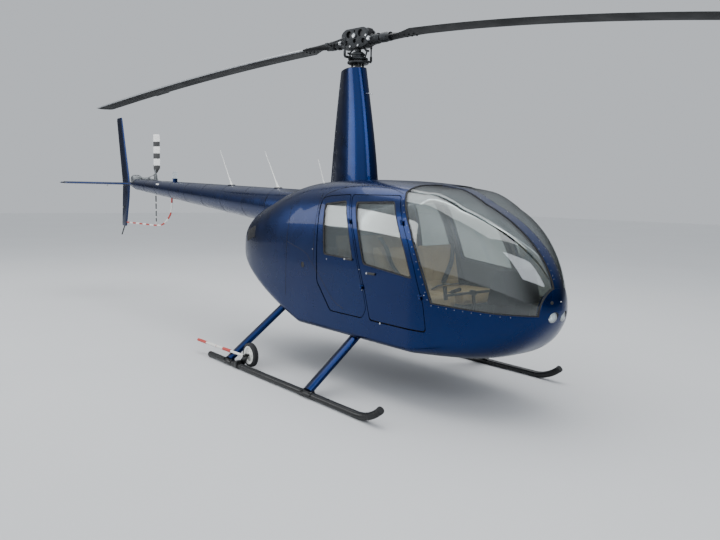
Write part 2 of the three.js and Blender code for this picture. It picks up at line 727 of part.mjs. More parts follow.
piece("tail_rotor", join(tailRotorHub(), tailBlade(1), tailBlade(-1)), "whitePaint");

// Fins: upper, lower and, on the right only, the horizontal one
const across = at(0, 1, 0);
const backwards = at(-1, 0, 0);
function fin(sections, back, side) {
  return wing(
    sections.map(([x, y, z, chord, thick]) => ({ nose: at(x, y, z), chord, thick, back, side })),
    5,
  );
}
const upperFin = [
  [-6140, 0, MOUNT.high + GAP, 330, 34],
  [-6150, 0, 1900, 330, 34],
  [-6440, 0, 2910, 250, 24],
];
const lowerFin = [
  [-6130, 0, MOUNT.low - GAP, 330, 34],
  [-6160, 0, 1560, 320, 32],
  [-6300, 0, 1090, 220, 24],
];
piece("upper_fin", fin(upperFin, backwards, across), "bluePaint");
const tailSkid = rod(at(-6350, 0, 1150), at(-6549, 0, 930), 11, 10);
piece("lower_fin", join(fin(lowerFin, backwards, across), tailSkid), "bluePaint");
const stabilizer = [
  [-5950, -MOUNT.half - GAP, 1800, 370, 42],
  [-5965, -1080, 1800, 350, 36],
];
piece("horizontal_stabilizer", fin(stabilizer, backwards, at(0, 0, 1)), "bluePaint");
function grownFin(sections) {
  return sections.map(([x, y, z, chord, thick], i) => [
    x + 2 * GAP,
    y,
    z - (i === sections.length - 1 ? GAP : 0),
    chord + 4 * GAP,
    thick + 2 * GAP,
  ]);
}

// Tail rotor guard, a bent tube from under the tail cone to the lower fin
const GUARD = [
  [-4426, 1640],
  [-4455, 1400],
  [-4560, 1290],
  [-4760, 1190],
  [-5000, 1158],
  [-5500, 1155],
  [-6310, 1153],
];
function tailGuard() {
  const curve = new THREE.CatmullRomCurve3(GUARD.map(([x, z]) => at(x, 0, z)), false, "centripetal");
  const bar = sweep(curve.getSpacedPoints(16), 13, 8, across);
  return cut(bar, boomBar(GAP), fin(grownFin(lowerFin), backwards, across));
}
piece("tail_rotor_guard", tailGuard(), "redStripes");

// Whip antennas, thick at the foot and leaning back. Foot and tip in side view
const WHIPS = {
  front: [-514, 1736, -656, 2059],
  middle: [-1452, 1754, -1752, 2183],
  back: [-2574, 1785, -2884, 2239],
};
for (const [name, [footX, footZ, tipX, tipZ]] of Object.entries(WHIPS)) {
  const foot = at(footX, 0, footZ);
  const tip = at(tipX, 0, tipZ);
  const neck = foot.clone().lerp(tip, 0.16);
  const buried = foot.clone().add(at(14, 0, -30));
  const made = join(rod(buried, neck, 30, 12, 8), rod(neck, tip, 8, 10, 3));
  piece("antenna_" + name, cut(made, outerGrown, boomBar(GAP), ridgeBar(-GAP)), "whiteFibreglass");
}

// Beacon on the tail cone, and a position lamp on the lower fin's right side
const beacon = rod(at(-4308, 0, 1800), at(-4308, 0, 1950), 38, 18).add(
  rod(at(-4308, 0, 1949), at(-4308, 0, 1978), 38, 18, 20),
);
piece("beacon", cut(beacon, boomBar(GAP)), "lampGlass");
const tailLamp = rod(at(-6379, 0, 1409), at(-6379, -32, 1409), 22, 14).add(
  rod(at(-6379, -31, 1409), at(-6379, -40, 1409), 22, 14, 13),
);
const wholeFin = fin(grownFin(lowerFin), backwards, across);
piece("tail_lamp", cut(tailLamp, wholeFin, box(-6500, -6300, 0, 60, 1300, 1500)), "lampGlass");

// Round bar along flat rows of points; side is the direction square to their plane
function sweep(points, radius, sides, side) {
  const rings = points.map((centre, i) => {
    const before = points[Math.max(0, i - 1)];
    const after = points[Math.min(points.length - 1, i + 1)];
    const normal = after.clone().sub(before).normalize().cross(side).normalize();
    return Array.from({ length: sides }, (_, k) => {
      const angle = (2 * Math.PI * (k + 0.5)) / sides;
      return centre
        .clone()
        .addScaledVector(side, radius * Math.cos(angle))
        .addScaledVector(normal, radius * Math.sin(angle));
    });
  });
  return loft(rings);
}

// Skids, with turned-up toes, and the four legs that carry the body on them
const SKID = { y: -1075, z: 30, radius: 30, back: -1020 };
const SKID_FLAT = SKID.radius * Math.cos(Math.PI / 12);
const TOE = { start: 1430, radius: 420, degrees: 42, steps: 7 };
function skid() {
  const line = [at(SKID.back, SKID.y, SKID_FLAT)];
  for (let i = 0; i <= TOE.steps; i++) {
    const turn = THREE.MathUtils.degToRad((TOE.degrees * i) / TOE.steps);
    const rise = TOE.radius * (1 - Math.cos(turn));
    line.push(at(TOE.start + TOE.radius * Math.sin(turn), SKID.y, SKID_FLAT + rise));
  }
  return sweep(line, SKID.radius, 12, across);
}
pair("skid", skid(), "blackPaint");
const skidGrown = rod(at(-1100, SKID.y, SKID_FLAT), at(1400, SKID.y, SKID_FLAT), SKID.radius + GAP, 24);

// Streamlined leg from the skid up to the belly. Foot's x, then x and z where it meets the belly
const LEG = { chord: 126, thick: 60, meetY: -550 };
const SADDLE = { half: 75, wall: 6 }; // half sleeve on the skid under a leg
const LEGS = { front: [767, 743, 467], rear: [-612, -437, 573] };
for (const [name, [footX, meetX, meetZ]] of Object.entries(LEGS)) {
  const foot = at(footX, SKID.y, 62);
  const meet = at(meetX, LEG.meetY, meetZ);
  const along = meet.clone().sub(foot).normalize();
  const end = meet.clone().addScaledVector(along, 220);
  const side = along.clone().cross(at(1, 0, 0)).normalize();
  const sections = [foot, end].map((place) => ({
    nose: place.clone().add(at(LEG.chord * 0.45, 0, 0)),
    chord: LEG.chord,
    thick: LEG.thick,
    back: backwards,
    side,
  }));
  const saddleEnds = [-SADDLE.half, SADDLE.half].map((x) => at(footX + x, SKID.y, SKID_FLAT));
  const upperHalf = box(footX - 100, footX + 100, SKID.y - 60, SKID.y + 60, SKID_FLAT, 100);
  const saddle = rod(...saddleEnds, SKID.radius + SADDLE.wall, 16).intersect(upperHalf);
  const whole = join(wing(sections, 6), saddle);
  piece(name + "_leg_right", cut(whole, skidGrown, outerGrown), "bluePaint");
  piece(name + "_leg_left", cut(mirrored(whole), mirrored(skidGrown), outerGrown), "bluePaint");
}

// Ground wheels, clamped to the skids: bracket with its axle and lever, then tyre and hub
const WHEEL = { x: -330, y: -994, z: 141, radius: 116, half: 30, rim: 76, bore: 14, axle: 8 };
const LEVER = { y: -1068, endX: -1295, endY: -1076, endZ: 131, radius: 11 };
const ARM = [[-440, 14], [-396, 14], [-308, 122], [-308, 160], [-350, 160], [-440, 80]];
function wheelBracket() {
  const clamp = box(-440, -396, SKID.y - 38, SKID.y + 38, 10, 80);
  const arm = sidePanel(ARM, -1044, -1034);
  const pin = rod(at(WHEEL.x, LEVER.y, WHEEL.z), at(WHEEL.x, -1034, WHEEL.z), 13, 12);
  const axleEnd = at(WHEEL.x, WHEEL.y + WHEEL.half + 4, WHEEL.z);
  const axle = rod(at(WHEEL.x, -1036, WHEEL.z), axleEnd, WHEEL.axle, 12);
  const leverEnd = at(LEVER.endX, LEVER.endY, LEVER.endZ);
  const lever = rod(at(WHEEL.x, LEVER.y, WHEEL.z), leverEnd, LEVER.radius, 10);
  return cut(join(clamp, arm, pin, axle, lever), skidGrown);
}
pair("ground_wheel_bracket", wheelBracket(), "blackPaint");

// Ring round the wheel's axle from a closed outline of [radius, y from the wheel's middle] corners
function wheelRing(outline) {
  const points = [...outline, outline[0]].map(([r, y]) => new THREE.Vector2(r, y));
  return solid(new THREE.LatheGeometry(points, 22).translate(WHEEL.x, WHEEL.y, WHEEL.z));
}
const { radius: outside, half: halfWide, rim, bore } = WHEEL;
const tyre = [
  [rim, -24],
  [rim + 14, -halfWide],
  [outside - 12, -halfWide + 3],
  [outside, -14],
  [outside, 14],
  [outside - 12, halfWide - 3],
  [rim + 14, halfWide],
  [rim, 24],
];
const hub = [
  [bore, -20],
  [rim - 16, -10],
  [rim - GAP, -23],
  [rim - GAP, 23],
  [rim - 16, 10],
  [bore, 20],
];
pair("ground_wheel_tyre", wheelRing(tyre), "tyreRubber");
pair("ground_wheel_hub", wheelRing(hub), "whitePaint");

helicopter.position.set(MAST_X, MAST_Y, 0);
export default helicopter;
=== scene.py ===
import json
import math

import bpy
import numpy as np
from mathutils import Matrix, Vector

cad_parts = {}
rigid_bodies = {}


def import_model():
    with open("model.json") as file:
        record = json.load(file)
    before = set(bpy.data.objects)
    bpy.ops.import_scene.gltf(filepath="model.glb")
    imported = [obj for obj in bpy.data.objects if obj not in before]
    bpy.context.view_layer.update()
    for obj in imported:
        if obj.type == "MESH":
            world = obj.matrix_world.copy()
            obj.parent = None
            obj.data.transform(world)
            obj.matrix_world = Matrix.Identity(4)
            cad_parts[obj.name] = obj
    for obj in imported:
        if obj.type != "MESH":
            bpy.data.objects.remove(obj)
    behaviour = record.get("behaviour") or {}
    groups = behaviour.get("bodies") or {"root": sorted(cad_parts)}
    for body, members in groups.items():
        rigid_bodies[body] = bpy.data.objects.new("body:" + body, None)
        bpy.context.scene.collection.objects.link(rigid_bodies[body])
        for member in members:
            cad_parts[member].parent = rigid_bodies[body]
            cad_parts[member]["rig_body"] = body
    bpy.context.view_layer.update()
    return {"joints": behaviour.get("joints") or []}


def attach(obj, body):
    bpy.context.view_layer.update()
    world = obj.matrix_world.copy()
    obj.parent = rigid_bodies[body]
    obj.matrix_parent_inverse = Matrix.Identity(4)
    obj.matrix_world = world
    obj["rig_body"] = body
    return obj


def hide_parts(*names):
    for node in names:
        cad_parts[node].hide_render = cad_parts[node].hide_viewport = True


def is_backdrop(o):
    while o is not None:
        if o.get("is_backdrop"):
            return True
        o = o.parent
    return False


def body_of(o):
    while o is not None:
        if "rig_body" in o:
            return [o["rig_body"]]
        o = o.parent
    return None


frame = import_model()

# Studio: a plain pale floor and soft light from above, seen by a camera that stands where the
# photographer stood, ahead and to the right of the nose.
MAST_X = next(j for j in frame["joints"] if j["name"] == "main_rotor_spin")["pos_m"][0]


def at(x, y, z):
    """A point given in millimetres, with x and y from the mast's axis, as metres in the frame."""
    return Vector((MAST_X + x / 1000, y / 1000, z / 1000))


def linear(code):
    """A colour given as sRGB hex digits, as linear red, green, blue and alpha."""
    parts = [int(code[i : i + 2], 16) / 255 for i in (0, 2, 4)]
    return [c / 12.92 if c <= 0.04045 else ((c + 0.055) / 1.055) ** 2.4 for c in parts] + [1.0]


def add(tree, kind, inputs={}, **settings):
    """Adds a node. An input is given a plain value or another node's output."""
    made = tree.nodes.new("ShaderNode" + kind)
    for name, value in settings.items():
        setattr(made, name, value)
    for name, value in inputs.items():
        if isinstance(value, bpy.types.NodeSocket):
            tree.links.new(value, made.inputs[name])
        else:
            made.inputs[name].default_value = value
    return made


def deselect():
    """Nothing stays selected, so that the next operator acts on its own piece only."""
    if bpy.context.object and bpy.context.object.mode != "OBJECT":
        bpy.ops.object.mode_set(mode="OBJECT")
    bpy.ops.object.select_all(action="DESELECT")


def new_finish(name, **values):
    """Starts a material: its Principled shader with plain values, and coordinates in metres."""
    made = bpy.data.materials.new(name)
    made.use_nodes = True
    shader = made.node_tree.nodes["Principled BSDF"]
    for socket, value in values.items():
        shader.inputs[socket.replace("_", " ")].default_value = value
    place = add(made.node_tree, "TexCoord").outputs["Object"]
    return made, made.node_tree, shader, place


def mottle(tree, shader, place, dark, light, patch_mm, grain_mm, depth_mm, rough=None):
    """Two close colours in soft patches, a fine grain as bump and, if given, a range of roughness."""
    patches = add(tree, "TexNoise", {"Vector": place, "Scale": 1000 / patch_mm, "Detail": 4.0}).outputs[0]
    colour = add(tree, "Mix", {0: patches, 6: linear(dark), 7: linear(light)}, data_type="RGBA")
    tree.links.new(colour.outputs[2], shader.inputs["Base Color"])
    grain = add(tree, "TexNoise", {"Vector": place, "Scale": 1000 / grain_mm, "Detail": 2.0}).outputs[0]
    bump = add(tree, "Bump", {"Height": grain, "Distance": depth_mm / 1000, "Strength": 0.6})
    tree.links.new(bump.outputs[0], shader.inputs["Normal"])
    if rough:
        spread = add(tree, "MapRange", {0: patches, 1: 0.3, 2: 0.7, 3: rough[0], 4: rough[1]})
        tree.links.new(spread.outputs[0], shader.inputs["Roughness"])
    return colour


def mottled(name, *pattern, rough=None, **values):
    """A whole finish in that pattern: its two colours, then patches, grain and depth in millimetres."""
    made, tree, shader, place = new_finish(name, **values)
    mottle(tree, shader, place, *pattern, rough)
    return made


def studio_floor():
    """Pale painted plaster: matt, with faint patches."""
    return mottled("pale_floor", "b9babb", "c2c3c3", 3000, 40, 0.3, Roughness=0.75)


deselect()
bpy.ops.mesh.primitive_plane_add(size=90)
floor = bpy.context.object
floor.name = "floor"
floor.data.materials.append(studio_floor())
floor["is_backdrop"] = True

SKY, GLOW, BACKDROP = "dfe4ea", 1.5, 0.8
world = bpy.data.worlds.new("studio")
world.use_nodes = True
bpy.context.scene.world = world
studio = world.node_tree
sky = studio.nodes["Background"]
sky.inputs["Color"].default_value = linear(SKY)
way = add(studio, "SeparateXYZ", {0: add(studio, "TexCoord").outputs["Generated"]}).outputs


def glow_along(axis, start, full, low):
    """Light from the backdrop that grows softly along one axis, from low at start to its full strength."""
    reach = {0: way[axis], 1: start, 2: full, 3: low, 4: GLOW}
    return add(studio, "MapRange", reach, interpolation_type="SMOOTHSTEP").outputs[0]


above, beside = glow_along(2, 0.05, 0.85, 0.12), glow_along(1, -0.35, -0.9, 0.0)
glow = add(studio, "Math", {0: above, 1: beside}, operation="ADD")
camera_ray = add(studio, "LightPath").outputs["Is Camera Ray"]
seen = add(studio, "Mix", {0: camera_ray, 2: glow.outputs[0], 3: BACKDROP})
studio.links.new(seen.outputs[0], sky.inputs["Strength"])


def soft_light(name, place, aim, size, watts, shade):
    """A large soft panel of light at place, turned to face aim."""
    panel = bpy.data.lights.new(name, "AREA")
    panel.shape = "RECTANGLE"
    panel.size, panel.size_y = size
    panel.energy = watts
    panel.color = linear(shade)[:3]
    lamp = bpy.data.objects.new(name, panel)
    bpy.context.scene.collection.objects.link(lamp)
    lamp.location = place
    lamp.rotation_euler = (Vector(aim) - Vector(place)).to_track_quat("-Z", "Y").to_euler()


soft_light("overhead_panel", (0, 0, 9), (0, 0, 0), (14, 8), 950, "ffffff")
soft_light("front_panel", (12, -3, 7), (0, 0, 1), (6, 5), 420, "f4f7ff")
soft_light("side_panel", (-7.5, -9.5, 4.6), (0, 0, 1.2), (8, 3.6), 380, "ffffff")

CAMERA = {"place": (5479, -4285, 1699), "yaw": 141.526, "pitch": -6.217, "roll": 0.998, "lens": 34.945}
yaw, pitch, roll = (math.radians(CAMERA[k]) for k in ("yaw", "pitch", "roll"))
ahead = Vector((math.cos(pitch) * math.cos(yaw), math.cos(pitch) * math.sin(yaw), math.sin(pitch)))
level = Vector((math.sin(yaw), -math.cos(yaw), 0))
upright = level.cross(ahead)
rightward = level * math.cos(roll) + upright * math.sin(roll)
upward = upright * math.cos(roll) - level * math.sin(roll)
lens = bpy.data.cameras.new("photo_camera")
lens.sensor_width = 36
lens.lens = CAMERA["lens"]
lens.clip_end = 200
camera = bpy.data.objects.new("photo_camera", lens)
bpy.context.scene.collection.objects.link(camera)
camera.matrix_world = Matrix.Translation(at(*CAMERA["place"])) @ Matrix(
    [(*rightward, 0), (*upward, 0), (*-ahead, 0), (0, 0, 0, 1)]
).transposed().to_3x3().to_4x4()
bpy.context.scene.camera = camera

# Body form: the egg-shaped outline that the panels, doors and glass are all cut from, so their faces
# line up. Between its two starts it keeps its width, and each end closes on ovals, as in the CAD.
BODY = {"half": 622, "low": 429, "roof": 1831, "beam": 515, "low_power": 3.64, "high_power": 4.78}
CROWN = {"x": 450, "drop": 30, "reach": 650}
NOSE = {
    "start": 1484, "tip": 2459, "z": 881, "half": (1.38, 1.79), "low": (3.93, 1.24), "high": (1.37, 2.04),
    "low_power": 2.07, "high_power": 1.6,
}
TAIL = {
    "start": -94, "tip": -1592, "z": 1158, "half": (3.27, 3.24), "low": (1.2, 1.43), "high": (1.86, 1.89),
    "low_power": 2.85, "high_power": 2.74,
}
SIDES, RINGS = ((144, 200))


def oval(share, powers):
    """The part of a size that is left, a share of the way to a closed end."""
    return max(0.0, 1 - max(0.0, share) ** powers[0]) ** (1 / powers[1])


def blend(start, end, share):
    """The value a share of the way from start to end."""
    return start + (end - start) * share


def body_at(x, depth=0):
    """Half width, belly, roof, height of the widest place and the two powers of the section at x."""
    end = NOSE if x > NOSE["start"] - 1 else TAIL
    tip = end["tip"] - math.copysign(depth, end["tip"])
    share = min(1.0, max(0.0, (x - end["start"]) / (tip - end["start"])))
    crown = CROWN["drop"] * min(4.0, ((x - CROWN["x"]) / CROWN["reach"]) ** 2)
    low = blend(end["z"], BODY["low"] + depth, oval(share, end["low"]))
    high = blend(end["z"], BODY["roof"] - crown - depth, oval(share, end["high"]))
    half = (BODY["half"] - depth) * oval(share, end["half"])
    powers = [blend(BODY[k], end[k], share**2) for k in ("low_power", "high_power")]
    return half, low, high, blend(BODY["beam"], end["z"], share), *powers


def on_ring(x, turn, depth=0):
    """The point on the body at x, at a turn in radians from the left side, up and over."""
    half, low, high, beam, low_power, high_power = body_at(x, depth)
    across, up = math.cos(turn), math.sin(turn)
    power = high_power if up >= 0 else low_power
    reach = (abs(across) ** power + abs(up) ** power) ** (-1 / power)
    tall = high - beam if up >= 0 else beam - low
    return at(x, half * across * reach, beam + tall * up * reach)


def body_form(name, depth, inside=False):
    """A ball drawn out to the body's outline, drawn in by depth. Its poles are the two tips."""
    deselect()
    bpy.ops.mesh.primitive_uv_sphere_add(segments=SIDES, ring_count=RINGS, radius=1)
    form = bpy.context.object
    form.name = name
    front, back = NOSE["tip"] - depth, TAIL["tip"] + depth
    for v in form.data.vertices:
        x = blend(back, front, (v.co.z + 1) / 2)
        v.co = on_ring(x, math.atan2(v.co.y, v.co.x), depth)
    if inside:
        form.data.flip_normals()
    return form


def joined(*parts, name=None):
    """One object from several, under its own name or the first one's."""
    deselect()
    for part in parts:
        part.select_set(True)
    bpy.context.view_layer.objects.active = parts[0]
    bpy.ops.object.join()
    if name:
        parts[0].name = name
    return parts[0]


def finished(piece, kind, **settings):
    """Puts a modifier on a piece and applies it."""
    deselect()
    modifier = piece.modifiers.new("made", kind)
    for name, value in settings.items():
        setattr(modifier, name, value)
    bpy.context.view_layer.objects.active = piece
    bpy.ops.object.modifier_apply(modifier=modifier.name)
    return piece


def copied(piece, name):
    """A copy of a piece with its own mesh."""
    made = piece.copy()
    made.data = piece.data.copy()
    made.name = name
    bpy.context.scene.collection.objects.link(made)
    return made


def carved(source, name, *cuts):
    """A copy of source, cut by each (operation, cutter) in turn."""
    piece = copied(source, name)
    for operation, cutter in cuts:
        finished(piece, "BOOLEAN", operation=operation, object=cutter, solver="MANIFOLD")
    return piece


def discard(*pieces):
    """Removes forms and cutters that have done their work."""
    for piece in pieces:
        bpy.data.objects.remove(piece)


def mirrored(piece, name):
    """The other side's copy of a piece, with its faces turned back outwards."""
    made = copied(piece, name)
    made.data.transform(Matrix.Scale(-1, 4, (0, 1, 0)))
    made.data.flip_normals()
    return made


def paired(*pieces):
    """The right-hand pieces and mirrored copies of them, each lot with its side and named for it."""
    left = [mirrored(piece, piece.name + "_left") for piece in pieces]
    for piece in pieces:
        piece.name += "_right"
    return ("right", pieces), ("left", left)


def smooth(piece, degrees=35):
    """Rounded sides are shaded smooth, and edges sharper than the angle stay crisp."""
    deselect()
    piece.select_set(True)
    bpy.context.view_layer.objects.active = piece
    bpy.ops.object.shade_smooth_by_angle(angle=math.radians(degrees))
    return piece


def keep(piece, body, slot, *materials, replaces=()):
    """A finished piece: its materials, the body it moves with and the CAD nodes that it stands for."""
    smooth(piece)
    slots = piece.data.materials
    for i in range(max(len(slots), len(materials))):
        material = materials[i] if i < len(materials) else materials[0]
        if i < len(slots):
            slots[i] = material
        else:
            slots.append(material)
    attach(piece, body)
    if replaces:
        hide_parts(*replaces)
    return piece


def rounded(corners, radius, steps=5):
    """A closed outline with its corners rounded off."""
    outline = []
    for i, corner in enumerate(corners):
        here = Vector(corner)
        before = Vector(corners[i - 1])
        after = Vector(corners[(i + 1) % len(corners)])
        start = here + (before - here).normalized() * radius
        end = here + (after - here).normalized() * radius
        for k in range(steps + 1):
            t = k / steps
            outline.append(start * (1 - t) ** 2 + here * 2 * t * (1 - t) + end * t**2)
    return outline


def grown(corners, margin):
    """An outline drawn out by a margin, or in where it is negative."""
    ring = [Vector(c) for c in corners]
    area = sum(a.x * b.y - b.x * a.y for a, b in zip(ring, ring[1:] + ring[:1]))
    outline = []
    for i, here in enumerate(ring):
        one = (here - ring[i - 1]).normalized()
        two = (ring[(i + 1) % len(ring)] - here).normalized()
        first, second = (Vector((d.y, -d.x)) * math.copysign(1, area) for d in (one, two))
        middle = (first + second).normalized()
        outline.append(here + middle * (margin / middle.dot(first)))
    return outline


def slab(name, outline, near=-900, far=-120):
    """A side-view outline of x and z as a solid from one y to another, to cut with."""
    deselect()
    bpy.ops.mesh.primitive_circle_add(vertices=len(outline), fill_type="NGON")
    made = bpy.context.object
    made.name = name
    for v, (x, z) in zip(made.data.vertices, outline):
        v.co = at(x, near, z)
    bpy.ops.object.mode_set(mode="EDIT")
    bpy.ops.mesh.select_all(action="SELECT")
    bpy.ops.mesh.extrude_region_move(TRANSFORM_OT_translate={"value": (0, (far - near) / 1000, 0)})
    bpy.ops.mesh.select_all(action="SELECT")
    bpy.ops.mesh.normals_make_consistent(inside=False)
    bpy.ops.object.mode_set(mode="OBJECT")
    return made


def cube(name, place):
    """A cube a metre wide, stretched and set in its place by a matrix."""
    deselect()
    bpy.ops.mesh.primitive_cube_add(size=1)
    made = bpy.context.object
    made.name = name
    made.data.transform(place)
    return made


def block(name, x0, x1, y0, y1, z0, z1):
    """A plain block to cut with, or to shape further."""
    low, high = at(x0, y0, z0), at(x1, y1, z1)
    return cube(name, Matrix.Translation((low + high) / 2) @ Matrix.Diagonal((*(high - low), 1)))


def rod(name, start, end, radius, end_radius=None, sides=24):
    """Round bar or cone between two points, radii in millimetres."""
    deselect()
    wide = [r / 1000 for r in (radius, radius if end_radius is None else end_radius)]
    length = (end - start).length
    bpy.ops.mesh.primitive_cone_add(vertices=sides, radius1=wide[0], radius2=wide[1], depth=length)
    made = bpy.context.object
    made.name = name
    turn = (end - start).to_track_quat("Z", "Y").to_matrix().to_4x4()
    made.data.transform(Matrix.Translation((start + end) / 2) @ turn)
    return made


WALL = 30
GLASS_OUTSIDE, GLASS_INSIDE = 6, 12
outer_form = body_form("outer_form", 0)
inner_form = body_form("inner_form", WALL, inside=True)
for form in (outer_form, inner_form):
    for name in ("paint", "lining"):
        form.data.materials.append(bpy.data.materials.get(name) or bpy.data.materials.new(name))
for face in inner_form.data.polygons:
    face.material_index = 1
skin = joined(copied(outer_form, "skin"), inner_form)
glass_layer = joined(
    body_form("glass_layer", GLASS_OUTSIDE), body_form("glass_inside", GLASS_INSIDE, inside=True)
)


# Paint and cabin finishes. The aluminium and fibreglass skin is sprayed deep metallic blue under a
# clear coat, and inside the cabin the walls are lined with grey trim cloth.
def metallic_blue_paint():
    """Metallic base coat under clear lacquer: deep blue that flashes pale at the edges, with fine flakes."""
    made, tree, shader, place = new_finish(
        "metallic_blue_paint", Metallic=1.0, Coat_Weight=0.28, Coat_Roughness=0.03, Coat_IOR=1.45
    )
    flakes = add(tree, "TexVoronoi", {"Vector": place, "Scale": 1000 / 2.5}).outputs["Color"]
    patches = add(tree, "TexNoise", {"Vector": place, "Scale": 1000 / 900, "Detail": 3.0}).outputs[0]
    base = add(tree, "Mix", {0: patches, 6: linear("061a44"), 7: linear("0a2758")}, data_type="RGBA")
    lit = add(tree, "Mix", {0: 0.1, 6: base.outputs[2], 7: flakes}, data_type="RGBA", blend_type="SOFT_LIGHT")
    tree.links.new(lit.outputs[2], shader.inputs["Base Color"])
    dust = add(tree, "TexNoise", {"Vector": place, "Scale": 1000 / 160, "Detail": 6.0}).outputs[0]
    rough = add(tree, "MapRange", {0: dust, 1: 0.3, 2: 0.8, 3: 0.24, 4: 0.36})
    tree.links.new(rough.outputs[0], shader.inputs["Roughness"])
    peel = add(tree, "TexNoise", {"Vector": place, "Scale": 1000 / 14, "Detail": 1.0}).outputs[0]
    bump = add(tree, "Bump", {"Height": peel, "Distance": 0.00012, "Strength": 0.35})
    tree.links.new(bump.outputs[0], shader.inputs["Coat Normal"])
    return made


def trim_cloth():
    """Pressed grey felt lining: matt, with a short tangled pile."""
    return mottled("trim_cloth", "3b3936", "4b4844", 90, 6, 0.06, Roughness=0.95, Sheen_Weight=0.3)


def see_through(tree, shader, tint, softness, low, high):
    """Glass lets light straight through, and the share that it mirrors grows from low to high at an edge."""
    edge = add(tree, "LayerWeight", {"Blend": softness}).outputs["Fresnel"]
    share = add(tree, "MapRange", {0: edge, 1: 0.0, 2: 1.0, 3: low, 4: high})
    clear = add(tree, "BsdfTransparent", {0: linear(tint)})
    both = add(tree, "MixShader", {0: share.outputs[0], 1: clear.outputs[0], 2: shader.outputs[0]})
    tree.links.new(both.outputs[0], tree.nodes["Material Output"].inputs["Surface"])


def tinted_acrylic():
    """Polished grey acrylic sheet: see-through, with a strong clean shine that grows towards its edges."""
    made, tree, shader, place = new_finish("tinted_acrylic", Roughness=0.03, Metallic=1.0)
    shader.inputs["Base Color"].default_value = linear("eef1f3")
    wave = add(tree, "TexNoise", {"Vector": place, "Scale": 1000 / 350, "Detail": 1.0}).outputs[0]
    bump = add(tree, "Bump", {"Height": wave, "Distance": 0.002, "Strength": 0.35})
    tree.links.new(bump.outputs[0], shader.inputs["Normal"])
    see_through(tree, shader, "e4e8e6", 0.22, 0.055, 0.9)
    return made


def black_rubber():
    """Extruded black rubber: matt, a little dusty."""
    return mottled("black_rubber", "0d0d0e", "17171a", 60, 2, 0.1, rough=(0.6, 0.8))


def bright_steel():
    """Cadmium-plated steel screws and pins: pale, slightly brushed."""
    return mottled("bright_steel", "a7a9ab", "c6c8ca", 20, 1.2, 0.02, rough=(0.25, 0.4), Metallic=1.0)


paint, lining, acrylic = metallic_blue_paint(), trim_cloth(), tinted_acrylic()
rubber, steel = black_rubber(), bright_steel()

# Doors: four pressed doors, each with a fixed window, hung on two hinges at its forward edge. Each is
# cut from the skin with a six millimetre gap, and its pane sits flush in a black sealant bead.
DOORS = {
    "front": {
        "outline": [
            (628, 1690), (1225, 1688), (1345, 1480), (1445, 1317), (1518, 1151), (1568, 1000), (1618, 866),
            (1650, 655), (1012, 655), (945, 868), (858, 1089), (770, 1338), (712, 1464),
        ],
        "pane": [(701, 1633), (1190, 1646), (1318, 1435), (1420, 1253), (1512, 1046), (898, 1107)],
        "hinges": [(1348, 1480), (1601, 915)],
        "swing": (0, -6),
        "handle": (956, 1036),
    },
    "rear": {
        "outline": [
            (205, 1655), (300, 1674), (596, 1690), (680, 1464), (738, 1338), (826, 1089), (913, 868),
            (955, 735), (905, 655), (450, 655), (236, 900),
        ],
        "pane": [(262, 1610), (568, 1643), (665, 1420), (762, 1129), (322, 1148)],
        "hinges": [(683, 1464), (898, 915)],
        "swing": (-7, -3),
        "handle": (645, 1132),
    },
}
DOOR_GAP, CORNER, HAIRLINE = 6, 30, 0.3
WINDOW_BEAD, SEAL_OUT, SEAL_IN = 13, 20, 12


def skin_half(x, z, depth=0):
    """Half width of the body at x and height z."""
    half, low, high, beam, low_power, high_power = body_at(x, depth)
    power = high_power if z > beam else low_power
    share = (z - beam) / (high - beam) if z > beam else (beam - z) / (beam - low)
    return half * max(0.0, 1 - min(1.0, share) ** power) ** (1 / power)


def on_side(x, z, proud=0, side=-1):
    """A point on the body's side and its outward direction."""
    step = 4
    along = at(x + step, side * skin_half(x + step, z), z) - at(x - step, side * skin_half(x - step, z), z)
    up = at(x, side * skin_half(x, z + step), z + step) - at(x, side * skin_half(x, z - step), z - step)
    out = along.cross(up).normalized()
    out = out if out.y * side > 0 else -out
    return at(x, side * skin_half(x, z), z) + out * (proud / 1000), out


def scattered(name, model, places):
    """Copies of a small model that points up Z, one at each (point, direction), as one mesh."""
    corners, faces = [], []
    for point, out in places:
        turn = out.to_track_quat("Z", "Y").to_matrix()
        start = len(corners)
        corners += [point + turn @ v.co for v in model.data.vertices]
        faces += [[start + i for i in face.vertices] for face in model.data.polygons]
    mesh = bpy.data.meshes.new(name)
    mesh.from_pydata(corners, [], faces)
    made = bpy.data.objects.new(name, mesh)
    bpy.context.scene.collection.objects.link(made)
    return made


def screw_model(radius, height, sides=10):
    """A low domed head, standing on the skin, in millimetres."""
    deselect()
    bpy.ops.mesh.primitive_cylinder_add(vertices=sides, radius=radius / 1000, depth=2 * height / 1000)
    made = bpy.context.object
    bpy.ops.object.mode_set(mode="EDIT")
    bpy.ops.mesh.select_all(action="DESELECT")
    bpy.ops.object.mode_set(mode="OBJECT")
    top = max(made.data.polygons, key=lambda face: face.center.z)
    top.select = True
    bpy.ops.object.mode_set(mode="EDIT")
    bpy.ops.mesh.bevel(offset=height / 1400, segments=2, affect="EDGES")
    bpy.ops.object.mode_set(mode="OBJECT")
    made.name = "screw_model"
    return made


def spaced(corners, spacing, closed=True):
    """Points at an even spacing along a line of corners."""
    line = [Vector(c) for c in corners] + ([Vector(corners[0])] if closed else [])
    walked = np.concatenate([[0], np.cumsum([(b - a).length for a, b in zip(line, line[1:])])])
    count = max(1, round(walked[-1] / spacing))
    stops = [walked[-1] * k / count for k in range(count + (0 if closed else 1))]
    columns = list(zip(*line))
    return [[float(np.interp(stop, walked, column)) for column in columns] for stop in stops]


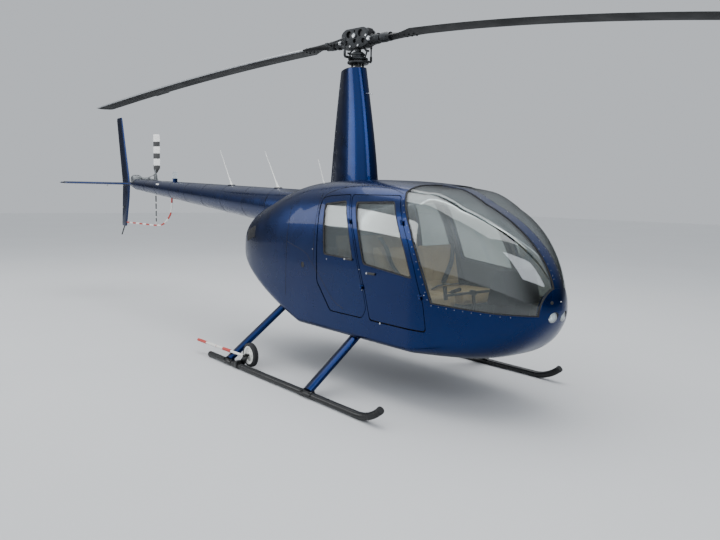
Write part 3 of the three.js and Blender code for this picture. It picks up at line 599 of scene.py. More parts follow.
screw, rivet = screw_model(2.6, 1.4), screw_model(3.2, 1.3, sides=8)
door_cutters = {}
bead_layer = joined(body_form("bead_layer", 2.5), body_form("bead_inside", 7, inside=True))
flange_layer = joined(body_form("flange_layer", WALL + 2), body_form("flange_inside", WALL + 6, inside=True))


def outline_slab(name, corners, margin=0):
    """A cutter in a door's or a window's outline, drawn out by a margin."""
    return slab(name, rounded(grown(corners, margin) if margin else corners, CORNER))


for door, form in DOORS.items():
    cutter = outline_slab("door_cutter", form["outline"])
    pane_cutter = outline_slab("pane_cutter", form["pane"])
    glass_cutter = outline_slab("glass_cutter", form["pane"], -HAIRLINE)
    bead_hole = outline_slab("bead_hole", form["pane"], -WINDOW_BEAD)
    gap_cutter = outline_slab("gap_cutter", form["outline"], SEAL_OUT)
    gap_hole = outline_slab("gap_hole", form["outline"], -SEAL_IN)
    cut = [
        carved(skin, door + "_door_panel", ("INTERSECT", cutter), ("DIFFERENCE", pane_cutter)),
        carved(glass_layer, door + "_door_glass", ("INTERSECT", glass_cutter)),
        carved(bead_layer, door + "_window_bead", ("INTERSECT", glass_cutter), ("DIFFERENCE", bead_hole)),
        carved(flange_layer, door + "_door_seal", ("INTERSECT", gap_cutter), ("DIFFERENCE", gap_hole)),
    ]
    for side in ("right", "left"):
        # The left pieces are copies of the finished right ones, so they stand for the right nodes as well.
        if side == "left":
            cut = [mirrored(piece, piece.name.replace("_right", "")) for piece in cut]
        for piece in cut:
            piece.name += "_" + side
        panel, pane, bead, seal = cut
        body = f"{door}_door_{side}"
        keep(panel, body, "blue_paint", paint, lining, replaces=[body])
        keep(pane, body, "tinted_glass", acrylic, replaces=[f"{door}_door_window_{side}"])
        keep(bead, body, "black_plastic", rubber)
        keep(seal, "airframe", "black_plastic", rubber)
    discard(cutter, pane_cutter, glass_cutter, bead_hole, gap_cutter, gap_hole)
    doorway = outline_slab("doorway", form["outline"], DOOR_GAP)
    swing_room = copied(doorway, "swing_room")
    swing_x, swing_z = form["swing"]
    swing_room.data.transform(Matrix.Translation((swing_x / 1000, 0, swing_z / 1000)))
    others = [mirrored(piece, piece.name) for piece in (doorway, swing_room)]
    door_cutters[door] = [doorway, swing_room, *others]

# Door hinges: a leaf on the door and one on the post ahead of it, turning on a steel pin that stands
# fifteen millimetres off the skin.
HINGE = {"radius": 9, "length": 22, "stand": 15, "arm": 6}
BOTH = ((-1, "right"), (1, "left"))


def hinge_line(door, side):
    """The upper and lower points of a door's pin."""
    return [at(x, side * (skin_half(x, z) + HINGE["stand"]), z) for x, z in DOORS[door]["hinges"]]


def softened(piece, width, segments=2, degrees=40):
    """Rounds a piece's sharp edges, as a casting's or a pressing's are; width in millimetres."""
    return finished(
        piece, "BEVEL", width=width / 1000, segments=segments, limit_method="ANGLE",
        angle_limit=math.radians(degrees), harden_normals=False,
    )


for door in DOORS:
    for side, name in BOTH:
        top, bottom = hinge_line(door, side)
        rise = (top - bottom).normalized()
        for leaf, reach, body in (("door", -1, f"{door}_door_{name}"), ("post", 1, "airframe")):
            parts = []
            for pivot in (top, bottom):
                near, far = pivot + rise * 0.00025 * reach, pivot + rise * HINGE["length"] / 1000 * reach
                middle = (near + far) / 2
                root = middle + Vector((reach * 0.016, -side * 0.026, 0))
                parts.append(softened(rod("knuckle", near, far, HINGE["radius"]), 1.5))
                parts.append(rod("hinge_arm", middle, root, HINGE["arm"], sides=12))
            keep(joined(*parts, name=f"{door}_hinge_{leaf}_{name}"), body, "blue_paint", paint)

# Cabin skin: the nose ahead of the doors, the belly pan under the sills, and the roof with its posts.
# Screws hold the acrylic windshields against the posts, with a bead of sealant round each.
SCREEN = [
    (1250, 1990), (1243, 1715), (1280, 1672), (1355, 1555), (1451, 1410), (1540, 1230), (1616, 1051),
    (1684, 873), (2164, 838), (2600, 832), (2600, 1990),
]
POST = 51
CAP = {"z": 836, "half": 168, "rise": 212}
LAMP = {"y": 62, "z": 829, "radius": 42, "front": 2412, "back": 2250}
SEAM = {"nose_x": 1700, "nose_top": 1040, "sill": 643}
FIREWALL_X, PAST_NOSE = 170, 2600


def cap_bar(margin):
    """The oval bar along X that the windshields stop at over the nose lamps."""
    deselect()
    bpy.ops.mesh.primitive_cylinder_add(vertices=64, radius=1, depth=1.2)
    bar = bpy.context.object
    size = Matrix.Diagonal(((CAP["rise"] + margin) / 1000, (CAP["half"] + margin) / 1000, 1, 1))
    turn = Matrix.Rotation(math.pi / 2, 4, "Y")
    bar.data.transform(Matrix.Translation(at(2300, 0, CAP["z"])) @ turn @ size)
    return bar


def screen_cutters(margin):
    """The right-hand and left-hand windshield outlines, drawn in by a margin."""
    bar = cap_bar(margin)
    whole = slab("screen_whole", grown(SCREEN, -margin), far=-POST - margin)
    right = carved(whole, "screen_cutter", ("DIFFERENCE", bar))
    discard(bar, whole)
    return right, mirrored(right, "screen_cutter_left")


def stretch(name, x0, x1, top=2200):
    """A block wider than the body, from x0 to x1 and from the ground up to a height."""
    return block(name, x0, x1, -900, 900, 0, top)


screens = screen_cutters(0)
lamp_holes = []
for side in (-1, 1):
    ends = [at(x, side * LAMP["y"], LAMP["z"]) for x in (LAMP["back"], NOSE["tip"] + 20)]
    lamp_holes.append(rod("lamp_hole", *ends, LAMP["radius"] + HAIRLINE, sides=48))
cabin_room = stretch("cabin_room", FIREWALL_X, PAST_NOSE)
openings = [*door_cutters["front"], *door_cutters["rear"], *screens, *lamp_holes]
shell = carved(skin, "cabin_shell", ("INTERSECT", cabin_room), *[("DIFFERENCE", o) for o in openings])
nose_room = stretch("nose_room", SEAM["nose_x"], PAST_NOSE, SEAM["nose_top"])
belly_room = stretch("belly_room", 0, SEAM["nose_x"] - HAIRLINE, SEAM["sill"])
beside_nose = stretch("beside_nose", SEAM["nose_x"] - HAIRLINE, PAST_NOSE, SEAM["nose_top"] + HAIRLINE)
above_belly = stretch("above_belly", 0, SEAM["nose_x"], SEAM["sill"] + HAIRLINE)
panels = {
    "nose_panel": ("nose_shell", [("INTERSECT", nose_room)]),
    "belly_panel": ("belly_pan", [("INTERSECT", belly_room)]),
    "roof_panel": ("roof_and_posts", [("DIFFERENCE", beside_nose), ("DIFFERENCE", above_belly)]),
}
for name, (node, cuts) in panels.items():
    keep(carved(shell, name, *cuts), "airframe", "blue_paint", paint, lining, replaces=[node])
discard(shell, cabin_room, nose_room, belly_room, beside_nose, above_belly, *openings)

pane_cutters = screen_cutters(HAIRLINE)
bead_holes = screen_cutters(10)
for name, cutter, hole in zip(("right", "left"), pane_cutters, bead_holes):
    pane = carved(glass_layer, "windshield_glass_" + name, ("INTERSECT", cutter))
    keep(pane, "airframe", "tinted_glass", acrylic, replaces=["windshield_" + name])
    bead = carved(bead_layer, "windshield_bead_" + name, ("INTERSECT", cutter), ("DIFFERENCE", hole))
    keep(bead, "airframe", "black_plastic", rubber)
discard(*pane_cutters, *bead_holes)


def roof_at(x, y):
    """Height of the body's top at x and y."""
    half, _, high, beam, _, high_power = body_at(x)
    return beam + (high - beam) * (1 - min(1.0, abs(y) / half) ** high_power) ** (1 / high_power)


edge_line = spaced(grown(SCREEN, 13)[1:10], 62, closed=False)
edge_screws = [on_side(x, z, 0, side) for side in (-1, 1) for x, z in edge_line if x < 2290 and z < 1700]
for side in (-1, 1):
    for k in range(15):
        x, y = 2404 - 6 * k - 4.6 * k**2, side * (POST - 12)
        slope = (body_at(x + 5)[2] - body_at(x - 5)[2]) / 10
        edge_screws.append((at(x, y, roof_at(x, y)), Vector((-slope, 0, 1)).normalized()))
keep(scattered("windshield_screws", screw, edge_screws), "airframe", "blue_paint", steel)

# Landing lamps: two sealed-beam lamps behind the nose, each in a black cup with a bright steel rim.
# The silvered bowl throws the light, and the pressed glass in front is fluted.
def clear_lens():
    """Pressed lamp glass: clear, with a clean shine and soft upright flutes."""
    made, tree, shader, place = new_finish("clear_lens", Roughness=0.06, Specular_IOR_Level=0.8)
    shader.inputs["Base Color"].default_value = linear("eef2f4")
    waves = {"Vector": place, "Scale": 1000 / 50, "Distortion": 0.6}
    flutes = add(tree, "TexWave", waves, bands_direction="Y")
    bump = add(tree, "Bump", {"Height": flutes.outputs[1], "Distance": 0.001, "Strength": 0.5})
    tree.links.new(bump.outputs[0], shader.inputs["Normal"])
    see_through(tree, shader, "f4f7f8", 0.3, 0.08, 0.8)
    return made


def silvered_bowl():
    """Vacuum-silvered glass: a bright mirror with a faint haze."""
    return mottled("silvered_bowl", "e6e9ea", "f6f8f8", 30, 6, 0.1, rough=(0.28, 0.38), Metallic=1.0)


def satin_black_paint():
    """Satin black enamel on steel: nearly even, with a soft shine and a little dust."""
    return mottled(
        "satin_black_paint", "0b0c0e", "191a1d", 180, 3, 0.05, rough=(0.32, 0.5), Specular_IOR_Level=0.5
    )


glass, silver, black = clear_lens(), silvered_bowl(), satin_black_paint()


def turned(name, profile, start, end, sides=40):
    """A piece turned on a lathe: its profile is [radius, distance] in millimetres from start to end."""
    deselect()
    bpy.ops.mesh.primitive_circle_add(vertices=len(profile), fill_type="NGON" if profile[0][0] else "NOTHING")
    made = bpy.context.object
    made.name = name
    for v, (radius, along) in zip(made.data.vertices, profile):
        v.co = Vector((radius / 1000, 0, along / 1000))
    bpy.ops.object.mode_set(mode="EDIT")
    bpy.ops.mesh.select_all(action="SELECT")
    if profile[0][0]:
        bpy.ops.mesh.delete(type="ONLY_FACE")
    bpy.ops.mesh.select_all(action="SELECT")
    bpy.ops.mesh.spin(steps=sides, angle=2 * math.pi, center=(0, 0, 0), axis=(0, 0, 1))
    bpy.ops.mesh.select_all(action="SELECT")
    bpy.ops.mesh.remove_doubles(threshold=3e-5)
    bpy.ops.mesh.select_all(action="SELECT")
    bpy.ops.mesh.normals_make_consistent(inside=False)
    bpy.ops.object.mode_set(mode="OBJECT")
    turn = (end - start).to_track_quat("Z", "Y").to_matrix().to_4x4()
    made.data.transform(Matrix.Translation(start) @ turn)
    return made


BOWL = [
    (6, -34), (18, -30), (28, -21), (35, -9), (36.5, -4), (39, -4), (38, -10), (30, -24), (19, -33), (6, -38),
]
LENS = [
    (0.01, 2), (14, 1.5), (26, 0), (35, -2.5), (36.5, -4), (36.5, -6), (34, -5), (24, -2.5), (0.01, -1),
]
RIM = [(36, -2), (37.5, 1), (40, 1), (41, -2), (41, -7), (40, -7), (40, -3)]
CUP = {"forward": 14, "depth": 110, "floor": 5, "radius": 41.8, "bore": 40.6}
for side, name in BOTH:
    front = at(LAMP["front"] + CUP["forward"], side * LAMP["y"], LAMP["z"])
    ahead_of = front + Vector((0.1, side * 0.022, -0.004))
    back = front - Vector((CUP["depth"] / 1000, 0, 0))
    inner = front - Vector(((CUP["depth"] - CUP["floor"]) / 1000, 0, 0))
    past = [at(x, side * LAMP["y"], LAMP["z"]) for x in (2470, 2490)]
    bore = rod("bore", inner, past[1], CUP["bore"])
    blank = rod("cup", back, past[0], CUP["radius"], sides=48)
    cup = carved(blank, "lamp_cup_" + name, ("INTERSECT", outer_form), ("DIFFERENCE", bore))
    keep(cup, "airframe", "black_plastic", black, replaces=["landing_lamps"])
    keep(turned("lamp_bowl_" + name, BOWL, front, ahead_of), "airframe", "lamp_glass", silver)
    keep(turned("lamp_lens_" + name, LENS, front, ahead_of), "airframe", "lamp_glass", glass)
    keep(turned("lamp_rim_" + name, RIM, front, ahead_of), "airframe", "black_plastic", steel)

# Door locks, latch pins and small fittings on the skin, each a bright steel disc, and the lever handle
# beside each lock. Like ones stand on the left side.
FITTINGS = [(377, 1110, 5), (853, 1060, 4), (901, 890, 4), (1048, 1041, 4), (1630, 933, 4), (150, 1184, 5)]


def disc(name, x, z, side, radius, proud):
    """A low turned button on the body's side."""
    start, out = on_side(x, z, -1, side)
    edge = proud + 1
    profile = [(0.01, 0), (radius, 0), (radius, edge * 0.6), (radius * 0.8, edge), (0.01, edge * 1.08)]
    return turned(name, profile, start, start + out, sides=24)


for side, name in BOTH:
    small = [disc("fitting", x, z, side, radius, 2) for x, z, radius in FITTINGS]
    keep(joined(*small), "airframe", "black_plastic", steel).name = "skin_fittings_" + name
    keep(disc("jack_point_" + name, 1146, 641, side, 9, 4), "airframe", "black_plastic", steel)
    for door, form in DOORS.items():
        x, z = form["handle"]
        body = f"{door}_door_{name}"
        keep(disc(f"{door}_door_lock_{name}", x, z, side, 9, 5), body, "black_plastic", steel)
        point, out = on_side(x + 70, z + 4, 0, side)
        place = Matrix.Translation(point + out * 0.006) @ Matrix.Diagonal((0.092, 0.012, 0.02, 1))
        handle = cube(f"{door}_door_handle_{name}", place)
        keep(softened(handle, 4, segments=3), body, "black_plastic", black)

# Aft cowling: the skin behind the cabin with the ridge that leads into the tail cone, open at its back.
# Lines of sealant mark its removable panels, and black louvres let the fan's air out at the sides.
BOOM = {"front": at(-1400, 0, 1540), "back": at(-5760, 0, 1787), "wide": 208, "narrow": 85}
RIDGE = {"x": -60, "z": 1520, "radius": 190, "wall": 14}
boom_line = BOOM["back"] - BOOM["front"]


def boom_at(x, turn, proud=0):
    """A point on the tail cone at x, at a turn in radians from the left side up and over."""
    share = (at(x, 0, 0).x - BOOM["front"].x) / boom_line.x
    radius = (blend(BOOM["wide"], BOOM["narrow"], share) + proud) / 1000
    centre = BOOM["front"] + boom_line * share
    return centre + Vector((0, math.cos(turn), math.sin(turn))) * radius


def ridge_bar(depth):
    """The ridge's round bar, drawn in by depth, from the roof back to the cone's front ring."""
    end = BOOM["front"] + Vector((-0.04, 0, 0.002))
    start = at(RIDGE["x"], 0, RIDGE["z"]) + Vector((depth / 1000, 0, 0))
    return rod("ridge", start, end, RIDGE["radius"] - depth, BOOM["wide"] - depth, sides=96)


holes = [BOOM[k] + HAIRLINE for k in ("wide", "narrow")]
boom_hole = rod("boom_hole", BOOM["front"] + Vector((0.001, 0, 0)), BOOM["back"], *holes, sides=96)
ahead_of_boom = stretch("ahead_of_boom", -1400 + HAIRLINE, 2000)
cowl_room = stretch("cowl_room", -1500, FIREWALL_X - HAIRLINE)
hollow = body_form("hollow", WALL)
ridge = carved(ridge_bar(0), "ridge_outside", ("INTERSECT", ahead_of_boom))
ridge_hollow = ridge_bar(RIDGE["wall"])
cuts = [("DIFFERENCE", form) for form in (hollow, ridge_hollow, boom_hole)]
cowling = carved(outer_form, "aft_cowl", ("UNION", ridge), *cuts, ("INTERSECT", cowl_room))
keep(cowling, "airframe", "blue_paint", paint, replaces=["aft_cowling"])
discard(boom_hole, ahead_of_boom, cowl_room, hollow, ridge, ridge_hollow)


def rolled(name, place, around, rows, finish=None):
    """A grid rolled up into a closed bar: place(turn, along) gives its points, both from 0 to 1."""
    deselect()
    bpy.ops.mesh.primitive_grid_add(x_subdivisions=around, y_subdivisions=rows, size=1)
    made = bpy.context.object
    made.name = name
    if finish:
        for face in made.data.polygons:
            face.material_index = finish(face.center.x + 0.5, face.center.y + 0.5)
    for v in made.data.vertices:
        v.co = place(v.co.x + 0.5, v.co.y + 0.5)
    bpy.ops.object.mode_set(mode="EDIT")
    bpy.ops.mesh.select_all(action="SELECT")
    bpy.ops.mesh.remove_doubles(threshold=2e-6)
    bpy.ops.mesh.fill_holes(sides=0)
    bpy.ops.mesh.select_all(action="SELECT")
    bpy.ops.mesh.normals_make_consistent(inside=False)
    bpy.ops.object.mode_set(mode="OBJECT")
    return made


def tube(name, points, radius, side=Vector((0, 1, 0)), around=12, finish=None, end_radius=None):
    """Round bar along a row of points. side is any direction that the row never follows."""
    last = len(points) - 1
    narrow = radius if end_radius is None else end_radius

    def place(turn, along):
        i = round(along * last)
        tangent = (points[min(last, i + 1)] - points[max(0, i - 1)]).normalized()
        across = (side - tangent * side.dot(tangent)).normalized()
        angle = 2 * math.pi * turn
        spoke = across * math.cos(angle) + tangent.cross(across) * math.sin(angle)
        return points[i] + spoke * (blend(radius, narrow, along) / 1000)

    return rolled(name, place, around, last, finish)


def flowing(corners, spacing):
    """Evenly spaced points on a smooth line through the corners."""
    line = [Vector(c) for c in corners]
    line = [line[0] * 2 - line[1], *line, line[-1] * 2 - line[-2]]
    fine = []
    for a, b, c, d in zip(line, line[1:], line[2:], line[3:]):
        for k in range(12):
            t = k / 12
            curve, twist = (2 * a - 5 * b + 4 * c - d) * t**2, (3 * b - a - 3 * c + d) * t**3
            fine.append(0.5 * (2 * b + (c - a) * t + curve + twist))
    return [Vector(p) for p in spaced(fine + [line[-2]], spacing, closed=False)]


PANEL_LINES = [
    [(-295, 1230), (25, 1146), (120, 1075), (282, 937), (481, 758), (640, 690)],
    [(-285, 1560), (-282, 1380), (-295, 1230), (-300, 700)],
    [(166, 1700), (166, 1400), (166, 1050)],
    [
        (186, 1480), (192, 1600), (222, 1680), (290, 1715), (380, 1741), (502, 1760), (700, 1770),
        (900, 1764), (1100, 1738), (1225, 1708),
    ],
]
for side, name in BOTH:
    seams = []
    for line in PANEL_LINES:
        path = [on_side(x, z, 0.2, side)[0] for x, z in flowing(line, 22)]
        seams.append(tube("panel_line", path, 1.6, around=6))
    keep(joined(*seams), "airframe", "black_plastic", rubber).name = "panel_lines_" + name
    louvres = []
    for k in range(7):
        point, out = on_side(-1196 + 34 * k, 1232 + 9 * k, 1, side)
        tilt = (out + Vector((0.5, 0, 0))).to_track_quat("Z", "Y").to_matrix().to_4x4()
        place = Matrix.Translation(point) @ tilt @ Matrix.Diagonal((0.016, 0.12, 0.003, 1))
        louvres.append(softened(cube("louvre", place), 1))
    keep(joined(*louvres), "airframe", "black_plastic", rubber).name = "cowl_louvres_" + name

# Tail cone: a long riveted aluminium cone in bays, each ending at a ring of flush rivets, with a lap
# joint over each ring and one seam along its underside.
def cone_place(turn, along):
    """The cone's outside, from its front ring to its back one."""
    return boom_at(blend(-1400.2, -5758, along), 2 * math.pi * turn)


def cone_rivet(x, turn):
    """A rivet's place on the cone, and its outward direction."""
    return boom_at(x, turn), Vector((0, math.cos(turn), math.sin(turn)))


BAYS = [-1408, -1980, -2560, -3140, -3710, -4270, -4830, -5290, -5745]
cone = rolled("tail_cone_skin", cone_place, 96, 120)
keep(cone, "airframe", "blue_paint", paint, replaces=["tail_cone"])
laps, cone_rivets = [], []
for x in BAYS:
    ring = [boom_at(x, 2 * math.pi * k / 72, 0.1) for k in range(73)]
    laps.append(tube("lap_joint", ring, 1.3, side=Vector((1, 0, 0)), around=6))
    for offset in (-16, 16):
        place = min(-1404, max(-5752, x + offset))
        cone_rivets += [cone_rivet(place, 2 * math.pi * (k + 0.5) / 40) for k in range(40)]
for k in range(110):
    cone_rivets += [cone_rivet(-1430 - 39 * k, math.radians(degrees)) for degrees in (262, 278)]
keep(joined(*laps), "airframe", "black_plastic", rubber).name = "tail_cone_laps"
keep(scattered("tail_cone_rivets", rivet, cone_rivets), "airframe", "blue_paint", paint)


# Antennas and beacon: three white whips with thick tapered feet on black gaskets, and an anti-collision
# beacon with a clear ribbed dome on the tail cone.
def white_fibreglass():
    """White gelcoat over fibreglass: glossy, faintly uneven."""
    return mottled("white_fibreglass", "dcdcd6", "eeeee9", 60, 5, 0.08, rough=(0.25, 0.4))


gelcoat = white_fibreglass()
WHIPS = {
    "front": (-514, 1736, -656, 2059),
    "middle": (-1452, 1754, -1752, 2183),
    "back": (-2574, 1785, -2884, 2239),
}
GASKET = [(0.01, -14), (48, -14), (48, 1), (44, 4), (0.01, 4)]
SUNK = 0.03


def whip_place(foot, tip):
    """A whip that leans from foot to tip and swells into its foot, which starts inside the skin."""

    def place(turn, along):
        lean = foot.lerp(tip, 0.0 if along < SUNK else (along - SUNK) / (1 - SUNK))
        if along < SUNK:
            lean = foot + Vector((0.012, 0, -0.028)) * (1 - along / SUNK)
        radius = 3.4 + 28 * math.exp(-along / 0.075) + 5.5 * (1 - along)
        angle = 2 * math.pi * turn
        return lean + Vector((math.cos(angle) * 1.15, math.sin(angle) * 0.62, 0)) * (radius / 1000)

    return place


for name, (foot_x, foot_z, tip_x, tip_z) in WHIPS.items():
    foot, tip = at(foot_x, 0, foot_z), at(tip_x, 0, tip_z - 3)
    whip = rolled(f"antenna_{name}_whip", whip_place(foot, tip), 20, 44)
    keep(whip, "airframe", "antenna_white", gelcoat, replaces=["antenna_" + name])
    ends = foot - Vector((0, 0, 0.002)), foot + Vector((-0.004, 0, 0.1))
    keep(turned(f"antenna_{name}_gasket", GASKET, *ends), "airframe", "black_plastic", rubber)

DOME = [(0.01, 0), (36, 0), (37, 6), (37, 62), (33, 84), (22, 96), (0.01, 101)]
STAND = [(0.01, -90), (34, -90), (34, -12), (38, -10), (38, -1), (0.01, -1)]
beacon_ends = at(-4308, 0, 1876), at(-4308, 0, 1976)
keep(turned("beacon_dome", DOME, *beacon_ends), "airframe", "lamp_glass", glass, replaces=["beacon"])
keep(turned("beacon_stand", STAND, *beacon_ends), "airframe", "blue_paint", paint)


# Tail gearbox and fins: a small aluminium box on the cone's end drives the tail rotor, and a flat mount
# behind it carries an upper and a lower fin and, on the right side only, a horizontal one.
def cast_aluminium():
    """Sand-cast aluminium: grey, softly pitted, with darker oily patches."""
    return mottled("cast_aluminium", "5d6062", "8a8d8f", 45, 1.6, 0.25, rough=(0.38, 0.6), Metallic=0.9)


cast = cast_aluminium()
TAIL_ROTOR = {"x": -5865, "y": 340, "z": 1875, "root": 110, "tip": 745, "pitch": 27}
FIN_MOUNT = (-6420, -5915, -14, 14, 1770, 1830)
DRUM = [(0.01, -62), (58, -62), (68, -52), (74, -40), (74, 60), (66, 78), (48, 90), (0.01, 90)]
SNOUT = [(0.01, 60), (44, 60), (44, 96), (34, 104), (32, 182), (36, 186), (36, 198), (0.01, 198)]
hub_x, hub_y, hub_z = (TAIL_ROTOR[k] for k in "xyz")


def by_hub(x, y, z):
    """A point with x and z from the tail rotor's axis and y from the machine's middle."""
    return at(hub_x + x, y, hub_z + z)


neck_ends = [BOOM["back"] + boom_line.normalized() * reach for reach in (0.0003, 0.17)]
neck = rod("gearbox_neck", *neck_ends, 84, 60, sides=48)
gearbox = [
    turned("gearbox_body", DRUM, by_hub(0, 0, -8), by_hub(0, 100, -8)),
    turned("gearbox_snout", SNOUT, by_hub(0, 0, 0), by_hub(0, 100, 0)),
]
for k in range(10):
    turn = Matrix.Rotation(2 * math.pi * k / 10, 3, "Y")
    centre = by_hub(0, 12, -8) + turn @ Vector((0.074, 0, 0))
    rib = Matrix.Translation(centre) @ turn.to_4x4() @ Matrix.Diagonal((0.012, 0.085, 0.006, 1))
    gearbox.append(cube("rib", rib))
keep(joined(*gearbox), "airframe", "bare_aluminium", cast, replaces=["tail_gearbox"])
keep(neck, "airframe", "blue_paint", paint)
keep(softened(block("fin_mount", *FIN_MOUNT), 4), "airframe", "black_paint", black)


def half_thickness(u):
    """Half the thickness of a streamlined section of chord 1 and thickness 1, a share u from its nose."""
    return 5 * (0.2969 * math.sqrt(u) - 0.126 * u - 0.3516 * u**2 + 0.2843 * u**3 - 0.1036 * u**4)


def streamline(turn):
    """A point round that section from its tail: the share of the chord from the nose, and the side."""
    u = (1 + math.cos(2 * math.pi * turn)) / 2
    return u, half_thickness(u) if turn < 0.5 else -half_thickness(u)


def wing(name, sections, back, side, around=32, rows=24, finish=None):
    """A streamlined piece through sections of [x, y, z, chord, thickness], each point its leading edge."""
    table = np.array(sections, float)
    steps = np.linalg.norm(np.diff(table[:, :3], axis=0), axis=1)
    walked = np.concatenate([[0], np.cumsum(steps)]) / steps.sum()

    def place(turn, along):
        x, y, z, chord, thick = [float(np.interp(along, walked, column)) for column in table.T]
        u, v = streamline(turn)
        return at(x, y, z) + back * (u * chord / 1000) + side * (v * thick / 1000)

    return rolled(name, place, around, rows, finish)


BACKWARDS, ACROSS, UP = Vector((-1, 0, 0)), Vector((0, 1, 0)), Vector((0, 0, 1))
UPPER = [
    (-6140, 0, 1830.3, 330, 34), (-6150, 0, 1900, 330, 34),
    (-6436, 0, 2898, 252, 24), (-6443, 0, 2909, 225, 12),
]
LOWER = [
    (-6130, 0, 1769.7, 330, 34), (-6160, 0, 1560, 320, 32),
    (-6297, 0, 1100, 222, 24), (-6304, 0, 1091, 200, 12),
]
FLAT = [(-5950, -14.3, 1800, 370, 42), (-5964.6, -1068, 1800, 350, 36), (-5968, -1079, 1800, 330, 20)]
FINS = [
    ("upper_fin_skin", "upper_fin", UPPER, ACROSS), ("lower_fin_skin", "lower_fin", LOWER, ACROSS),
    ("horizontal_fin_skin", "horizontal_stabilizer", FLAT, UP),
]
fin_rivets = []
for name, node, table, out in FINS:
    keep(wing(name, table, BACKWARDS, out), "airframe", "blue_paint", paint, replaces=[node])
    rows = np.array(table, float)
    share = np.linspace(0, 1, len(rows))
    for k in range(28):
        x, y, z, chord, thick = [float(np.interp((k + 0.5) / 28, share, column)) for column in rows.T]
        for u in (0.22, 0.7):
            for way in (-1, 1):
                lift = out * (way * half_thickness(u) * thick / 1000)
                fin_rivets.append((at(x, y, z) + BACKWARDS * (u * chord / 1000) + lift, out * way))
keep(scattered("fin_rivets", rivet, fin_rivets), "airframe", "blue_paint", paint)

TAIL_SKID = [(-6350, 1150), (-6400, 1095), (-6470, 1017), (-6545, 934)]
skid_line = flowing([at(x, 0, z) for x, z in TAIL_SKID], 0.014)
keep(tube("tail_skid", skid_line, 10), "airframe", "black_paint", black)

TAIL_LENS = [(0.01, 6), (17, 6), (17, 20), (11, 26), (0.01, 28)]
TAIL_CUP = [(0.01, -6), (21, -6), (22, 8), (19, 10), (0.01, 10)]
lamp_ends = at(-6379, -12, 1409), at(-6379, -12, 1409) - ACROSS
tail_lens = turned("tail_lamp_glass", TAIL_LENS, *lamp_ends)
keep(tail_lens, "airframe", "lamp_glass", glass, replaces=["tail_lamp"])
keep(turned("tail_lamp_cup", TAIL_CUP, *lamp_ends), "airframe", "black_plastic", black)


# Tail rotor: two white blades barred in black, on a steel shaft and a bolted yoke. A lever and a rod at
# each blade's root join it to the slider on the shaft that sets their pitch.
def blade_white():
    """White epoxy enamel on the tail rotor: glossy, with faint uneven patches."""
    return mottled("blade_white", "d6d6d2", "efefec", 90, 3, 0.05, rough=(0.28, 0.42))


white = blade_white()
WHITE_BARS = {
    "upper": [(747, 629), (544, 433), (348, 242)],
    "lower": [(745, 700), (640, 610), (520, 488), (400, 370), (270, 250)],
}
TAIL_NUT = [(0.01, 0), (24, 0), (24, 12), (20, 16), (0.01, 16)]
SLIDER = [(18, 220), (40, 220), (40, 246), (26, 252), (18, 252)]
TAIL_BLADE = [(110, 46, 22), (190, 137, 20), (700, 137, 15), (733, 130, 13), (745, 106, 7)]
yoke = block("tail_yoke", hub_x - 26, hub_x + 26, hub_y - 22, hub_y + 22, hub_z - 74, hub_z + 74)
rotor_parts = [
    softened(yoke, 6, segments=3),
    rod("tail_shaft", by_hub(0, 206, 0), by_hub(0, 368, 0), 15),
    turned("tail_nut", TAIL_NUT, by_hub(0, 361, 0), by_hub(0, 400, 0), 6),
]
for up in (-1, 1):
    lever_end = by_hub(-52, 322, up * 70)
    rotor_parts += [
        rod("tail_bolt", by_hub(-34, hub_y, up * 95), by_hub(34, hub_y, up * 95), 6),
        rod("tail_bolt", by_hub(-34, hub_y, up * 125), by_hub(34, hub_y, up * 125), 6),
        rod("blade_root", by_hub(0, hub_y, up * 60), by_hub(0, hub_y, up * 170), 20, 15),
        rod("pitch_lever", by_hub(0, 322, up * 90), lever_end, 8, 6, sides=14),
        rod("pitch_rod", lever_end, by_hub(-34, 236, up * 40), 5, sides=12),
    ]
rotor_parts.append(turned("pitch_slider", SLIDER, by_hub(0, 0, 0), by_hub(0, 100, 0), 28))
rotor_yoke = joined(*rotor_parts, name="tail_rotor_yoke")
keep(rotor_yoke, "tail_rotor", "bare_aluminium", cast, replaces=["tail_rotor"])


def barred(bars):
    """Picks a blade's enamel by the distance from the hub: 0 in a white bar, and 1 for black."""

    def finish(turn, along):
        reach = blend(TAIL_ROTOR["root"], TAIL_ROTOR["tip"], along)
        return 0 if any(high >= reach >= low for high, low in bars) else 1

    return finish


turn = math.radians(TAIL_ROTOR["pitch"])
for up, name in ((1, "upper"), (-1, "lower")):
    back = Vector((up * math.cos(turn), math.sin(turn), 0))
    side = Vector((-math.sin(turn), up * math.cos(turn), 0))
    sections = []
    for r, wide, deep in TAIL_BLADE:
        lead = back * (-0.3 * wide)
        sections.append((hub_x + lead.x, hub_y + lead.y, hub_z + up * r, wide, deep))
    finish = barred(WHITE_BARS[name])
    blade = wing("tail_rotor_blade_" + name, sections, back, side, around=28, rows=64, finish=finish)
    keep(blade, "tail_rotor", "white_paint", white, black)


# Tail rotor guard: one bent steel tube from under the cone to the lower fin, banded red and white, and
# held by a clamp at each end.
def guard_red():
    """Red enamel on steel tube: satin, a little faded."""
    return mottled("guard_red", "a02a22", "bb3a2f", 50, 3, 0.05, rough=(0.35, 0.5))


red = guard_red()
GUARD = [
    (-4426, 1662), (-4428, 1600), (-4455, 1400), (-4560, 1290), (-4760, 1190), (-5000, 1158), (-5500, 1155),
    (-6292, 1153),
]
BANDS = 15


def banded(turn, along):
    """Picks the guard's enamel: red and white by turns."""
    return int(along * BANDS) % 2


